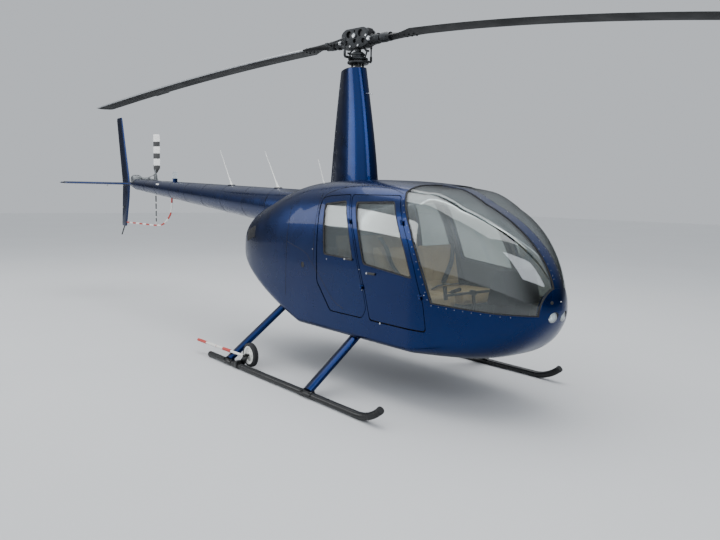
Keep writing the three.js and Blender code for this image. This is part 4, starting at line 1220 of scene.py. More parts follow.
guard_line = flowing([at(x, 0, z) for x, z in GUARD], 0.016)
guard = tube("guard_tube", guard_line, 12.8, finish=banded, around=16)
keep(guard, "airframe", "guard_paint", red, white, replaces=["tail_rotor_guard"])
plates = []
for x, z in ((-4427, 1656), (-6286, 1153)):
    plates.append(softened(block("guard_plate", x - 30, x + 12, -18, 18, z - 14, z + 10), 3))
keep(joined(*plates), "airframe", "black_paint", black).name = "guard_clamps"

# Mast fairing: two glass-fibre halves joined along their trailing edge into a streamlined column on the
# roof, narrower at its top, with a pitot tube on its nose and a bead of sealant round its foot.
FAIRING = [
    (1650, 290, 730, 285), (1840, 279, 711, 280), (2005, 251, 651, 260), (2243, 213, 579, 235),
    (2490, 174, 518, 210), (2690, 132, 442, 195), (2905, 84, 355, 178),
]
fairing_fits = [np.poly1d(np.polyfit([row[0] for row in FAIRING], column, 3)) for column in zip(*FAIRING)]


def fairing_row(z):
    """The fairing's section at a height: x, y and z of its leading edge, its chord and its thickness."""
    nose, chord, thick = (float(fit(z)) for fit in fairing_fits[1:])
    return nose, 0, z, chord, thick


heights = np.linspace(1700, 2905, 14)
column = wing("fairing_whole", [fairing_row(z) for z in heights], BACKWARDS, ACROSS, 72, 60)
ridge = ridge_bar(-HAIRLINE)
fairing = carved(column, "mast_fairing_skin", ("DIFFERENCE", outer_form), ("DIFFERENCE", ridge))
keep(fairing, "airframe", "blue_paint", paint, replaces=["mast_fairing"])
discard(column, ridge)


def ridge_at(x, y):
    """Height of the cowling's ridge at x and y, and 0 ahead of it."""
    share = max(0.0, (RIDGE["x"] - x) / 1340)
    radius = blend(RIDGE["radius"], BOOM["wide"], share)
    return RIDGE["z"] + 22 * share + math.sqrt(max(0, radius**2 - y * y)) if x < RIDGE["x"] else 0


nose, _, _, chord, thick = fairing_row(1810)
foot_line = []
for k in range(97):
    u, v = streamline(k / 96)
    x, y = nose + 3 - u * (chord + 6), v * (thick + 8)
    foot_line.append(at(x, y, max(roof_at(x, y), ridge_at(x, y)) + 1))
keep(tube("fairing_foot_bead", foot_line, 4, side=UP, around=8), "airframe", "blue_paint", paint)
edge_places = []
for z in np.arange(1900, 2880, 70):
    nose, _, _, chord, thick = fairing_row(z)
    for way in (-1, 1):
        spot = at(nose - 0.9 * chord, way * half_thickness(0.9) * thick, z)
        edge_places.append((spot, Vector((-0.15, way, 0)).normalized()))
keep(scattered("fairing_screws", screw, edge_places), "airframe", "blue_paint", steel)
PITOT = [(100, 2655), (150, 2655), (190, 2652), (228, 2642)]
pitot_line = flowing([at(x, 0, z) for x, z in PITOT], 0.008)
pitot = tube("pitot_tube", pitot_line, 6.5, side=ACROSS, end_radius=4.5)
keep(pitot, "airframe", "bare_aluminium", steel)

# Rotor head: two drilled plates on a teetering block at the top of the mast hold the blade spindles.
# Below it the swashplate's upper half turns with the mast, and its lower half stands on three stems.
MAST_FOOT = at(0, 0, 0)
HUB = {"z": 3160, "azimuth": 189.7}
HORN = {"x": 330, "y": 190}
SWASH = {"low": 2945, "height": 30, "split": 7}


def oiled_steel():
    """Dark forged steel, oily and dusty: near black, with patches of dull grey wear."""
    return mottled("oiled_steel", "151617", "434547", 38, 2, 0.1, rough=(0.34, 0.55), Metallic=0.8)


oiled = oiled_steel()


def spun(piece, degrees):
    """Turns a piece about the mast's axis, in its mesh."""
    to_mast = Matrix.Translation(MAST_FOOT)
    piece.data.transform(to_mast @ Matrix.Rotation(math.radians(degrees), 4, "Z") @ to_mast.inverted())
    return piece


def bolt(name, start, end, radius):
    """A bolt through a joint, with a six-sided head and nut; the shank runs from start to end."""
    half = (end - start).normalized() * radius * 0.0009
    ends = []
    for spot in (start, end):
        ends.append(softened(rod(name, spot - half, spot + half, radius * 1.75, sides=6), 1))
    return joined(*ends, rod("shank", start, end, radius, sides=20))


HUB_PLATE = [
    (-172, 3240), (-120, 3277), (120, 3277), (172, 3240),
    (172, 3122), (110, 3096), (-110, 3096), (-172, 3122),
]
HUB_HOLES = [(-74, 3226, 33), (74, 3226, 33), (-112, 3150, 24), (112, 3150, 24), (0, 3158, 20), (0, 3252, 10)]
HUB_BOLTS = [
    (0, 3206, 13), (-150, 3192, 7), (150, 3192, 7), (-185, HUB["z"], 12), (185, HUB["z"], 12),
    (-50, 3112, 6), (50, 3112, 6),
]
COLLAR = [(29, 0), (67, 0), (68, 12), (60, 16), (60, 26), (67, 30), (66, 44), (54, 50), (48, 58), (29, 60)]
UPPER_PLATE = [(29, 0), (86, 0), (97, 5), (97, 19), (88, 24), (60, 24), (54, 34), (40, 38), (29, 38)]
LOWER_PLATE = [(38, 0), (92, 0), (103, 6), (105, 14), (103, 24), (94, 30), (38, 30)]
PLATE_LOW = SWASH["low"] + SWASH["height"] + SWASH["split"]
mast_top = at(0, 0, 3100)
holes = [rod("hole", at(x, -80, z), at(x, 80, z), r, sides=32) for x, z, r in HUB_HOLES]
head_parts = []
for near, far in ((38, 57), (-57, -38)):
    plate = slab("hub_plate", rounded(HUB_PLATE, 26), near, far)
    drilled = carved(plate, "hub_plate", *[("DIFFERENCE", hole) for hole in holes])
    discard(plate)
    head_parts.append(softened(drilled, 3))
discard(*holes)
for side in (-1, 1):
    root = block("blade_grip", *sorted((side * 118, side * 284)), -47, 47, HUB["z"] - 34, HUB["z"] + 34)
    head_parts.append(softened(root, 20, segments=4))
    for reach in (182, 246):
        ends = [at(side * (reach + half), 0, HUB["z"]) for half in (-17, 17)]
        head_parts.append(softened(rod("grip_collar", *ends, 51, sides=40), 5))
    stop = block("droop_stop", *sorted((side * 40, side * 150)), -34, 34, 3092, 3112)
    head_parts.append(softened(stop, 4))
head_parts.append(rod("mast", at(0, 0, 2915), at(0, 0, 3104), 29, sides=40))
head_parts.append(turned("mast_collar", COLLAR, at(0, 0, 3003), at(0, 0, 3200), 48))
head_parts.append(turned("upper_swashplate", UPPER_PLATE, at(0, 0, PLATE_LOW), mast_top, 64))
for side in (-1, 1):
    elbow = at(side * 116, 0, 3062)
    arm_ends = [at(0, side * y, PLATE_LOW + 12) for y in (80, HORN["y"])]
    head_parts += [
        softened(rod("swash_arm", *arm_ends, 14, 11), 2),
        rod("scissor_low", at(side * 88, 0, PLATE_LOW + 14), elbow, 8),
        rod("scissor_high", elbow, at(side * 34, 0, 3112), 8),
        softened(rod("scissor_pin", *[at(side * 116, y, 3062) for y in (-24, 24)], 10), 2),
    ]
head = spun(joined(*head_parts, name="hub_and_swashplate"), HUB["azimuth"])
keep(head, "main_rotor", "bare_aluminium", oiled, replaces=["rotor_head"])
# The teetering block between the plates is satin black so that the holes in the plates read black: painted
# shade.
core = softened(block("hub_core", -158, 158, -37, 37, 3104, 3270), 10, segments=3)
keep(spun(core, HUB["azimuth"]), "main_rotor", "black_paint", black)
bolts = [bolt("hub_bolts", at(x, -62, z), at(x, 62, z), r) for x, z, r in HUB_BOLTS]
keep(spun(joined(*bolts), HUB["azimuth"]), "main_rotor", "bare_aluminium", steel)

fixed = [turned("lower_swashplate", LOWER_PLATE, at(0, 0, SWASH["low"]), mast_top, 64)]
for turn in (math.radians(degrees) for degrees in (90, 210, 330)):
    x, y = 62 * math.cos(turn), 62 * math.sin(turn)
    fixed.append(rod("stem", at(x, y, 2905.5), at(x, y, SWASH["low"] + 5), 10))
    fixed.append(softened(rod("stem_nut", at(x, y, 2911), at(x, y, 2921), 17, sides=6), 1))
keep(joined(*fixed), "airframe", "bare_aluminium", oiled, replaces=["fixed_swashplate"])
nose, _, _, chord, thick = fairing_row(2905)
lid_rows = [(nose, 0, 2905.3, chord, thick), (nose - 1, 0, 2911, chord - 4, thick - 4)]
keep(wing("fairing_lid", lid_rows, BACKWARDS, ACROSS, 64, 3), "airframe", "bare_aluminium", black)


# Main rotor blades: bonded aluminium blades, painted near black over a bare steel leading edge. Each
# has a bolted root, a pitch horn with its link to the swashplate, and a bent trim tab.
def blade_black():
    """Matt black polyurethane on the blades: chalky, with faint dusty patches."""
    return mottled(
        "blade_black", "07080a", "101215", 240, 4, 0.03, rough=(0.5, 0.68), Specular_IOR_Level=0.22
    )


matt_black = blade_black()
BLADE = {"root": 285.3, "tip": 5030, "strip": 700}
TAB = {"x": (3560, 3860), "y": (-205, -180), "hinge_y": -190}
DROOP = {"aft": (300, 1.6), "forward": (578, 1.74)}
BLADE_TABLE = np.array([
    (285.3, 78, 62), (330, 92, 68), (420, 98, 66), (520, 130, 46), (640, 196, 36), (760, 254, 31),
    (4600, 254, 31), (4990, 250, 27), (5020, 240, 22), (5029, 215, 10),
], float)


def blade_drop(name, r):
    """How far a resting blade hangs below the hub at a radius. The rotor has teetered, so they differ."""
    reach = (r - BLADE["root"]) / (BLADE["tip"] - BLADE["root"])
    return DROOP[name][0] * max(0.0, reach) ** DROOP[name][1]


def blade_row(name, r):
    """A blade's section at a radius: its leading edge, chord and thickness."""
    chord, thick = (float(np.interp(r, BLADE_TABLE[:, 0], BLADE_TABLE[:, i])) for i in (1, 2))
    lead = float(np.interp(r, (520, 760), (0.5, 0.27)))
    return r, chord * lead, HUB["z"] - blade_drop(name, r), chord, thick


def edge_strip(turn, along):
    """Picks 1, bare steel, along the leading edge outside the root."""
    r = blend(BLADE["root"], BLADE["tip"], along)
    return 1 if abs(turn - 0.5) < 0.075 and r > BLADE["strip"] else 0


CUFF = [(0.01, 0), (40, 0), (47, 8), (47, 60), (42, 72), (42, 110), (0.01, 110)]
stations = sorted({*BLADE_TABLE[:, 0], *np.linspace(820, 4950, 24)})
for name, azimuth in (("aft", HUB["azimuth"]), ("forward", HUB["azimuth"] - 180)):
    rows = [blade_row(name, r) for r in stations]
    blade = wing("blade_skin_" + name, rows, -ACROSS, UP, around=40, rows=180, finish=edge_strip)
    node = "rotor_blade_" + name
    keep(spun(blade, azimuth), "main_rotor", "blade_paint", matt_black, steel, replaces=[node])
    horn = block("pitch_horn", 308, 352, 24, 108, HUB["z"] - 15, HUB["z"] + 15)
    low_end, high_end = at(0, HORN["y"], PLATE_LOW + 26), at(0, HORN["y"], HUB["z"] + 2)
    link = [rod("link", low_end, high_end, 7.5), softened(horn, 6, segments=3)]
    link.append(rod("horn_arm", at(HORN["x"], 84, HUB["z"]), at(-4, HORN["y"], HUB["z"]), 11))
    for share in (0.1, 0.88):
        place = low_end.lerp(high_end, share)
        reach = (high_end - low_end).normalized() * 0.024
        link.append(softened(rod("link_end", place - reach, place + reach, 12), 3))
    for r in (585, 640, 695):
        middle = HUB["z"] - blade_drop(name, r)
        for y in (-28, 22):
            link.append(bolt("root_bolt", at(r, y, middle - 21), at(r, y, middle + 21), 5))
    link.append(turned("grip_cuff", CUFF, at(298, 0, HUB["z"]), at(400, 0, HUB["z"] - 1), 40))
    keep(spun(joined(*link), azimuth), "main_rotor", "bare_aluminium", oiled).name = "pitch_link_" + name
    near, far = TAB["x"]
    tab_z = HUB["z"] - blade_drop(name, 3700)
    tab = block("trim_tab_" + name, near, far, *TAB["y"], tab_z - 2, tab_z + 1)
    slope = math.atan((blade_drop(name, far) - blade_drop(name, near)) / (far - near))
    to_tab = Matrix.Translation(at((near + far) / 2, TAB["hinge_y"], tab_z))
    tab.data.transform(to_tab @ Matrix.Rotation(slope, 4, "Y") @ to_tab.inverted())
    keep(spun(tab, azimuth), "main_rotor", "blade_paint", matt_black)

# Skids and legs: steel tube skids with turned-up toes and steel shoes below, and four streamlined legs
# that sweep in to the belly. A sleeve clamps each leg to its skid, held by two bolts.
SKID = {"y": 1075, "z": 30, "radius": 30, "back": -1020}
TOE = {"start": 1430, "radius": 420, "degrees": 42}
LEG = {"chord": 126, "thick": 60, "meet_y": 550, "beyond": 220}
LEGS = {"front": {"foot": 767, "meet": (743, 467)}, "rear": {"foot": -612, "meet": (-437, 573)}}


def worn_black_paint():
    """Black enamel on the skids: satin, with soft patches and scuffs worn back to grey primer."""
    made, tree, shader, place = new_finish("worn_black_paint", Specular_IOR_Level=0.32)
    colour = mottle(tree, shader, place, "060708", "101113", 220, 3, 0.03, rough=(0.2, 0.36))
    spots = {"Vector": place, "Scale": 1000 / 45, "Detail": 6.0, "Roughness": 0.7}
    scuffs = add(tree, "TexNoise", spots).outputs[0]
    share = add(tree, "MapRange", {0: scuffs, 1: 0.66, 2: 0.74, 3: 0.0, 4: 0.4}).outputs[0]
    mixed = add(tree, "Mix", {0: share, 6: colour.outputs[2], 7: linear("4a4c50")}, data_type="RGBA")
    tree.links.new(mixed.outputs[2], shader.inputs["Base Color"])
    return made


worn = worn_black_paint()
TOE_CAP = [(0.01, 0), (30.6, 0), (30.6, 22), (27, 27), (0.01, 28)]
BACK_CAP = [(0.01, 0), (28.9, 0), (28.9, 22), (26, 26), (0.01, 26)]
SHOES = [(-960, -700), (-500, -450), (300, 640), (900, 1380)]
SLEEVE = {"half": 75, "radius": 35.5, "bolt_x": 52, "bolt_y": 25, "bolt_z": 55}
skid_y, skid_top = -SKID["y"], SKID["radius"] * 0.966
toe_line = [at(x, skid_y, skid_top) for x in np.linspace(SKID["back"], TOE["start"], 60)]
for k in range(1, 21):
    turn = math.radians(TOE["degrees"]) * k / 20
    x, z = TOE["start"] + TOE["radius"] * math.sin(turn), skid_top + TOE["radius"] * (1 - math.cos(turn))
    toe_line.append(at(x, skid_y, z))
pipe = tube("skid_tube", toe_line, SKID["radius"], around=40)
for v in pipe.data.vertices:
    v.co.z = max(v.co.z, 0.0)
toe_end, toe_along = toe_line[-1], (toe_line[-1] - toe_line[-2]).normalized()
back_end = at(SKID["back"] + 20, skid_y, skid_top)
caps = [
    turned("toe_cap", TOE_CAP, toe_end - toe_along * 0.024, toe_end, 32),
    turned("back_cap", BACK_CAP, back_end, back_end - Vector((1, 0, 0)), 32),
]
shoes = [softened(block("shoe", x0, x1, skid_y - 17, skid_y + 17, 0.2, 7), 3) for x0, x1 in SHOES]
collars = []
for leg in LEGS.values():
    x = leg["foot"]
    ends = [at(x + reach, skid_y, skid_top) for reach in (-SLEEVE["half"], SLEEVE["half"])]
    sleeve = rod("sleeve", *ends, SLEEVE["radius"], sides=40)
    for v in sleeve.data.vertices:
        v.co.z = max(v.co.z, skid_top / 1000)
    collars.append(softened(sleeve, 2.5))
    for dx in (-SLEEVE["bolt_x"], SLEEVE["bolt_x"]):
        for dy in (-1, 1):
            spot = at(x + dx, skid_y + dy * SLEEVE["bolt_y"], SLEEVE["bolt_z"])
            head = rod("sleeve_bolt", spot, spot + Vector((0, dy * 0.006, 0.006)), 7, sides=6)
            collars.append(softened(head, 1))
lots = [
    joined(*caps, name="skid_caps"),
    joined(*shoes, name="skid_shoes"),
    joined(*collars, name="leg_sleeves"),
]
for side, (tube_piece, cap_piece, shoe_piece, sleeve_piece) in paired(pipe, *lots):
    keep(tube_piece, "airframe", "black_paint", worn, replaces=["skid_" + side])
    keep(cap_piece, "airframe", "black_plastic", rubber)
    keep(shoe_piece, "airframe", "bare_aluminium", steel)
    keep(sleeve_piece, "airframe", "black_paint", worn)

for name, leg in LEGS.items():
    meet = at(leg["meet"][0], -LEG["meet_y"], leg["meet"][1])
    foot = at(leg["foot"], skid_y, 62)
    along = (meet - foot).normalized()
    far = meet + along * LEG["beyond"] / 1000
    thin = along.cross(Vector((1, 0, 0))).normalized()
    lead = 0.45 * LEG["chord"]
    rows = []
    for share in (0, 0.012, 0.03, 0.06, 0.5, 1):
        place = foot.lerp(far, share)
        edge = (place.x - MAST_X) * 1000 + lead
        rows.append((edge, place.y * 1000, place.z * 1000, LEG["chord"], LEG["thick"]))
    strut = wing("leg_blank", rows, BACKWARDS, thin, 40, 44)
    leg_skin = carved(strut, name + "_leg_skin", ("DIFFERENCE", outer_form))
    seam_line = []
    for k in range(65):
        u, v = streamline(k / 64)
        start = foot + Vector((lead - u * LEG["chord"], 0, 0)) / 1000 + thin * (v * LEG["thick"] / 1000)
        hit, spot, _, _ = outer_form.ray_cast(start, along)
        if hit:
            seam_line.append(spot)
    leg_bead = tube(name + "_leg_bead", seam_line, 3.2, side=along, around=8)
    for side, (skin_piece, bead_piece) in paired(leg_skin, leg_bead):
        keep(skin_piece, "airframe", "blue_paint", paint, replaces=[f"{name}_leg_{side}"])
        keep(bead_piece, "airframe", "black_plastic", rubber)
    discard(strut)

# Ground wheels: a small treaded tyre on a pressed steel hub at each side, on a cranked steel arm that is
# clamped to the skid. A long lever tube, banded red and white, lifts the wheel over centre.
WHEEL = {"x": -330, "y": -994, "z": 141}
LEVER = {"y": -1068, "end": (-1295, -1076, 131), "radius": 11}
ARM = [(-440, 14), (-396, 14), (-308, 122), (-308, 160), (-350, 160), (-440, 80)]


def tyre_rubber():
    """Moulded tyre rubber: dark grey, matt, with dusty patches."""
    return mottled("tyre_rubber", "141415", "26262a", 50, 2, 0.3, rough=(0.7, 0.9))


def banded_enamel(name, light, dark, places):
    """Gloss enamel in bands along X, worn a little. places are the changes of colour, in metres."""
    made, tree, shader, place = new_finish(name, Coat_Weight=0.3, Coat_Roughness=0.2)
    colour = mottle(tree, shader, place, light, light, 40, 3, 0.05, rough=(0.3, 0.45))
    x = add(tree, "SeparateXYZ", {0: place}).outputs[0]
    mask = None
    for start, end in places:
        above = add(tree, "Math", {0: x, 1: start}, operation="GREATER_THAN")
        below = add(tree, "Math", {0: x, 1: end}, operation="LESS_THAN")
        band = add(tree, "Math", {0: above.outputs[0], 1: below.outputs[0]}, operation="MULTIPLY")
        if mask:
            band = add(tree, "Math", {0: mask.outputs[0], 1: band.outputs[0]}, operation="MAXIMUM")
        mask = band
    mixed = add(tree, "Mix", {0: mask.outputs[0], 6: colour.outputs[2], 7: linear(dark)}, data_type="RGBA")
    tree.links.new(mixed.outputs[2], shader.inputs["Base Color"])
    return made


def by_axle(y):
    """The point on the wheel's axis at y."""
    return at(WHEEL["x"], y, WHEEL["z"])


tread = tyre_rubber()
centre = by_axle(WHEEL["y"])
lever_end = at(*LEVER["end"])
lever_x = [blend(centre.x, lever_end.x, share) for share in (0.26, 0.43, 0.565, 0.575, 0.80, 1.01)]
bands = [(lever_x[1], lever_x[0]), (lever_x[3], lever_x[2]), (lever_x[5], lever_x[4])]
lever_paint = banded_enamel("banded_enamel", "d8d6cf", "a3241c", bands)
outside = centre + Vector((0, -1, 0))
TYRE_PROFILE = [
    (76, -19), (86, -24), (93, -29), (104, -27), (111, -20), (114, -19), (114, -13), (111.5, -12),
    (111.5, -10), (115.5, -9), (116, -3), (113, -2), (113, 2), (116, 3), (115.5, 9), (111.5, 10), (111.5, 12),
    (114, 13), (114, 19), (111, 20), (104, 27), (93, 29), (86, 24), (76, 19),
]
HUB_PROFILE = [
    (14, -20), (22, -20), (26, -14), (52, -9), (62, -12), (68, -22), (84, -27.5), (86.5, -26), (84, -24),
    (75.5, -20), (75.5, 20), (84, 24), (86.5, 26), (84, 27.5), (68, 22), (62, 12), (52, 9), (26, 14),
    (22, 20), (14, 20),
]
lug = screw_model(5, 5, sides=6)
hub_bolts = []
for k in range(6):
    turn = math.pi * k / 3
    spot = centre + Vector((math.cos(turn) * 0.038, 0, math.sin(turn) * 0.038))
    hub_bolts += [(spot + Vector((0, way * 0.011, 0)), Vector((0, way, 0))) for way in (-1, 1)]
arm = softened(slab("arm", rounded(ARM, 12), -1044, -1034), 2)
clamp = softened(block("clamp", -440, -396, -1113, -1037, 10, 80), 8, segments=3)
pin = softened(rod("pin", by_axle(-1080), by_axle(-1034), 13), 2)
axle = rod("axle", by_axle(-1036), by_axle(-960), 8)
nut = softened(rod("nut", by_axle(-966), by_axle(-958), 13, sides=6), 1)
lever_points = [by_axle(LEVER["y"]).lerp(lever_end, k / 40) for k in range(41)]
sleeves = [tube("sleeve", lever_points[i:k], LEVER["radius"] + 5, around=24) for i, k in ((11, 18), (32, 41))]
wheel_pieces = [
    turned("ground_wheel_tyre_turned", TYRE_PROFILE, centre, outside, 64),
    turned("ground_wheel_hub_turned", HUB_PROFILE, centre, outside, 64),
    scattered("wheel_bolts_turned", lug, hub_bolts),
    joined(arm, clamp, pin, axle, nut, name="wheel_arm"),
    tube("wheel_lever", lever_points, LEVER["radius"] + 2, around=24),
    joined(*sleeves, name="wheel_lever_sleeves"),
]
for side, (tyre, hub, studs, arm, lever, grip) in paired(*wheel_pieces):
    body = "ground_wheel_" + side
    keep(tyre, body, "tyre", tread, replaces=["ground_wheel_tyre_" + side])
    keep(hub, body, "white_paint", gelcoat, replaces=["ground_wheel_hub_" + side])
    keep(studs, body, "white_paint", steel)
    keep(arm, "airframe", "black_paint", worn, replaces=["ground_wheel_bracket_" + side])
    keep(lever, "airframe", "white_paint", lever_paint)
    keep(grip, "airframe", "guard_paint", red)

# Cabin floor and firewall: carpet over the aluminium floor and over the boxes that the seats stand on,
# grey cloth on the wall behind the rear seats, and plain cast aluminium on the engine behind it.
def cabin_carpet():
    """Cut-pile carpet: dark grey, very matt, with tufts a few millimetres across."""
    return mottled("cabin_carpet", "2c2b2b", "403e3c", 8, 2.5, 1.5, Roughness=1.0, Sheen_Weight=0.4)


carpet = cabin_carpet()
PLAIN_NODES = {"cabin_floor": carpet, "firewall": lining, "engine_block": cast, "cooling_fan": black}
for node, finish in PLAIN_NODES.items():
    mesh = bpy.data.objects[node].data
    mesh.materials.clear()
    mesh.materials.append(finish)

# Seats: foam cushions and backrests under tan leather, on the carpeted boxes. The covers swell between
# their seams, and the rear bench is sewn as two places.
def tan_leather():
    """Tan leather: a fine pebbled grain, softly shiny where it is rubbed, with slightly darker patches."""
    made, tree, shader, place = new_finish("tan_leather", Specular_IOR_Level=0.45)
    mottle(tree, shader, place, "a98a62", "c7ab80", 120, 30, 0.4, rough=(0.42, 0.6))
    cells = add(tree, "TexVoronoi", {"Vector": place, "Scale": 1000 / 4}).outputs[0]
    pebble = add(tree, "Bump", {"Height": cells, "Distance": 0.0004, "Strength": 0.6})
    tree.links.new(pebble.outputs[0], shader.inputs["Normal"])
    return made


leather = tan_leather()
SEAT_TOP = 770
SEATS = {
    "front_seat_right": (1010, -262, 450, 470, 491), "front_seat_left": (1010, 262, 450, 470, 491),
    "rear_seat": (500, 0, 370, 1010, 570),
}
LEAN = math.radians(12)
SWELL_CAP, PRESSURE, CLOTH_FRAMES = 0.014, 4, 20


def swollen(piece, held_below):
    """Lets a cover swell under pressure, with the points below a height held, then smooths it once."""
    finished(piece, "REMESH", mode="VOXEL", voxel_size=0.011)
    start = [v.co.copy() for v in piece.data.vertices]
    held = piece.vertex_groups.new(name="held")
    held.add([v.index for v in piece.data.vertices if v.co.z < held_below], 1.0, "REPLACE")
    deselect()
    cover = piece.modifiers.new("cover", "CLOTH")
    cover.settings.use_pressure = True
    cover.settings.uniform_pressure_force = PRESSURE
    cover.settings.effector_weights.gravity = 0
    cover.settings.vertex_group_mass = "held"
    for frame_number in range(1, CLOTH_FRAMES + 1):
        bpy.context.scene.frame_set(frame_number)
    bpy.context.view_layer.objects.active = piece
    bpy.ops.object.modifier_apply(modifier=cover.name)
    for v, before in zip(piece.data.vertices, start):
        moved = v.co - before
        if moved.length > SWELL_CAP:
            v.co = before + moved.normalized() * SWELL_CAP
    bpy.context.scene.frame_set(1)
    piece.vertex_groups.clear()
    return finished(piece, "SUBSURF", levels=1, render_levels=1)


def seat_pad(name, x, y, length, width, height, crown):
    """One upholstered slab on z 0, its sides pulled in at the middle and its top crowned."""
    blank = block(name, x, x + length, y - width / 2, y + width / 2, 0, height)
    pad = softened(blank, 26, segments=4, degrees=60)
    deselect()
    pad.select_set(True)
    bpy.context.view_layer.objects.active = pad
    bpy.ops.object.mode_set(mode="EDIT")
    bpy.ops.mesh.select_all(action="SELECT")
    bpy.ops.mesh.subdivide(number_cuts=8)
    bpy.ops.object.mode_set(mode="OBJECT")
    middle = at(x + length / 2, y, height / 2)
    for v in pad.data.vertices:
        u = (v.co.x - middle.x) / (length / 2000)
        w = (v.co.y - middle.y) / (width / 2000)
        rise = max(0.0, (v.co.z - middle.z) / (height / 2000))
        dome = max(0.0, (1 - u * u)) * max(0.0, (1 - w * w))
        v.co.z += rise * crown * dome / 1000
        v.co.y -= 0.004 * w * (1 - u * u)
        v.co.x -= 0.004 * u * (1 - w * w)
    return pad


def channels(piece, seams, deepest, width, upper):
    """Presses sewn channels into a cover's upper side. A seam is (axis, place) in metres."""
    count = len(piece.data.vertices)
    points, normals = np.empty(count * 3), np.empty(count * 3)
    piece.data.vertices.foreach_get("co", points)
    piece.data.vertices.foreach_get("normal", normals)
    points, normals = points.reshape(-1, 3), normals.reshape(-1, 3)
    dips = np.zeros(count)
    for axis, place in seams:
        dips = np.maximum(dips, np.exp(-(((points[:, axis] - place) / (width / 1000)) ** 2)))
    points -= normals * (dips * (points[:, 2] > upper) * deepest / 1000)[:, None]
    piece.data.vertices.foreach_set("co", points.ravel())
    piece.data.update()


for name, (x, y, depth, width, tall) in SEATS.items():
    places = [0, -0.38, -0.13, 0.13, 0.38] if width > 600 else [-0.28, 0.28]
    stripes = [(1, (y + share * width) / 1000) for share in places]
    cushion = seat_pad("cushion", x + 8, y, depth - 16, width - 16, 100, 6)
    cushion.data.transform(Matrix.Translation((0, 0, (SEAT_TOP + 1) / 1000)))
    swollen(cushion, (SEAT_TOP + 6) / 1000)
    channels(cushion, [*stripes, (0, at(x + depth * 0.72, 0, 0).x)], 5, 5, (SEAT_TOP + 80) / 1000)
    back = seat_pad("backrest", 8, y, tall - 14, width - 16, 74, 5)
    swollen(back, 0.008)
    channels(back, [*stripes, (0, at(tall * 0.3, 0, 0).x)], 5, 5, 0.06)
    hinge = at(x - 90 + 25, 0, SEAT_TOP + 1)
    upright_turn = Matrix(((0, 0, 1, 0), (0, 1, 0, 0), (1, 0, 0, 0), (0, 0, 0, 1)))
    turn = Matrix.Rotation(-LEAN, 4, "Y") @ upright_turn
    from_mast = Matrix.Translation((-MAST_X, 0, 0))
    back.data.transform(Matrix.Translation((hinge.x, 0, hinge.z)) @ turn @ from_mast)
    back.data.flip_normals()
    for piece, part in ((cushion, "cushion"), (back, "backrest")):
        for v in piece.data.vertices:
            v.co.z = max(v.co.z, (SEAT_TOP + 1) / 1000)
        keep(piece, "airframe", "tan_leather", leather, replaces=[name]).name = f"{name}_{part}"

# Instrument console: black pedestal on the floor with the panel above it under a padded brow. Its round
# instruments face the seats, with plain faces, and two blank radios sit in the pedestal.
CONSOLE = {
    "pedestal": [(1800, 501), (2060, 501), (2120, 900), (2060, 1118), (1962, 1128), (1902, 860)],
    "head": [(1907, 862), (2123, 882), (2060, 1133), (1967, 1143)],
}


def crackle_black():
    """Black wrinkle enamel on the instrument panel: matt, with a fine crinkled grain."""
    return mottled("crackle_black", "0b0b0c", "161618", 30, 1.8, 0.6, rough=(0.6, 0.75))


crackle = crackle_black()
cabin_inside = body_form("cabin_inside", WALL + 2)
desk = []
for part, half in (("pedestal", 94), ("head", 199)):
    raw = softened(slab("console_raw", CONSOLE[part], -half, half), 10, segments=3)
    desk.append(carved(raw, "console_part", ("INTERSECT", cabin_inside)))
    discard(raw)
desk = joined(*desk, name="instrument_console_case")
keep(desk, "airframe", "black_plastic", crackle, replaces=["instrument_console"])
discard(cabin_inside)
rise = Vector((60, 0, 281)).normalized()
facing = Vector((-281, 0, 60)).normalized()
panel_foot = at(1907, 0, 862)
BEZEL = [(23, 0), (30, 0), (30, 4), (27, 7), (24, 5), (23, 2)]
DIALS = [(y, up) for up in (205, 118) for y in (-150, -52, 52, 150)] + [(-52, 34), (52, 34)]
bezels, dial_faces, needles = [], [], []
for k, (y, up) in enumerate(DIALS):
    middle = panel_foot + rise * (up / 1000) + Vector((0, y / 1000, 0)) + facing * 0.001
    bezels.append(turned("bezel", BEZEL, middle, middle + facing, 32))
    dial_faces.append(rod("dial", middle, middle + facing * 0.0025, 23.5, sides=32))
    for tick in range(12):
        spoke = Matrix.Rotation(math.tau * tick / 12, 3, facing) @ rise
        place = middle + facing * 0.0028 + spoke * 0.0195
        needles.append(rod("tick", place - spoke * 0.002, place + spoke * 0.002, 0.6, sides=6))
    spoke = Matrix.Rotation(0.7 * k + 0.4, 3, facing) @ rise
    axis = middle + facing * 0.0032
    needles.append(rod("needle", axis - spoke * 0.005, axis + spoke * 0.016, 0.9, 0.4, sides=8))
keep(joined(*bezels), "airframe", "black_plastic", black).name = "instrument_bezels"
keep(joined(*dial_faces), "airframe", "black_plastic", rubber).name = "instrument_faces"
keep(joined(*needles), "airframe", "white_paint", white).name = "instrument_needles"
radio_rise = Vector((102, 0, 359)).normalized()
radio_facing = Vector((-359, 0, 102)).normalized()
pedestal_x, pedestal_z = CONSOLE["pedestal"][0]
radios = []
for low, high in ((150, 200), (215, 255), (270, 330)):
    flush = [Vector((pedestal_x + reach * 0.273, pedestal_z + reach * 0.962)) for reach in (low, high)]
    proud = [corner + Vector((-7, 2)) for corner in reversed(flush)]
    radios.append(softened(slab("radio", flush + proud, -78, 78), 1.5))
    for y in (-62, 62):
        foot = at(pedestal_x, y, pedestal_z)
        point = foot + radio_rise * ((low + high) / 2000) + radio_facing * 0.005
        radios.append(rod("knob", point, point + radio_facing * 0.014, 9, 8, sides=20))
keep(joined(*radios), "airframe", "black_plastic", black).name = "radio_stack"

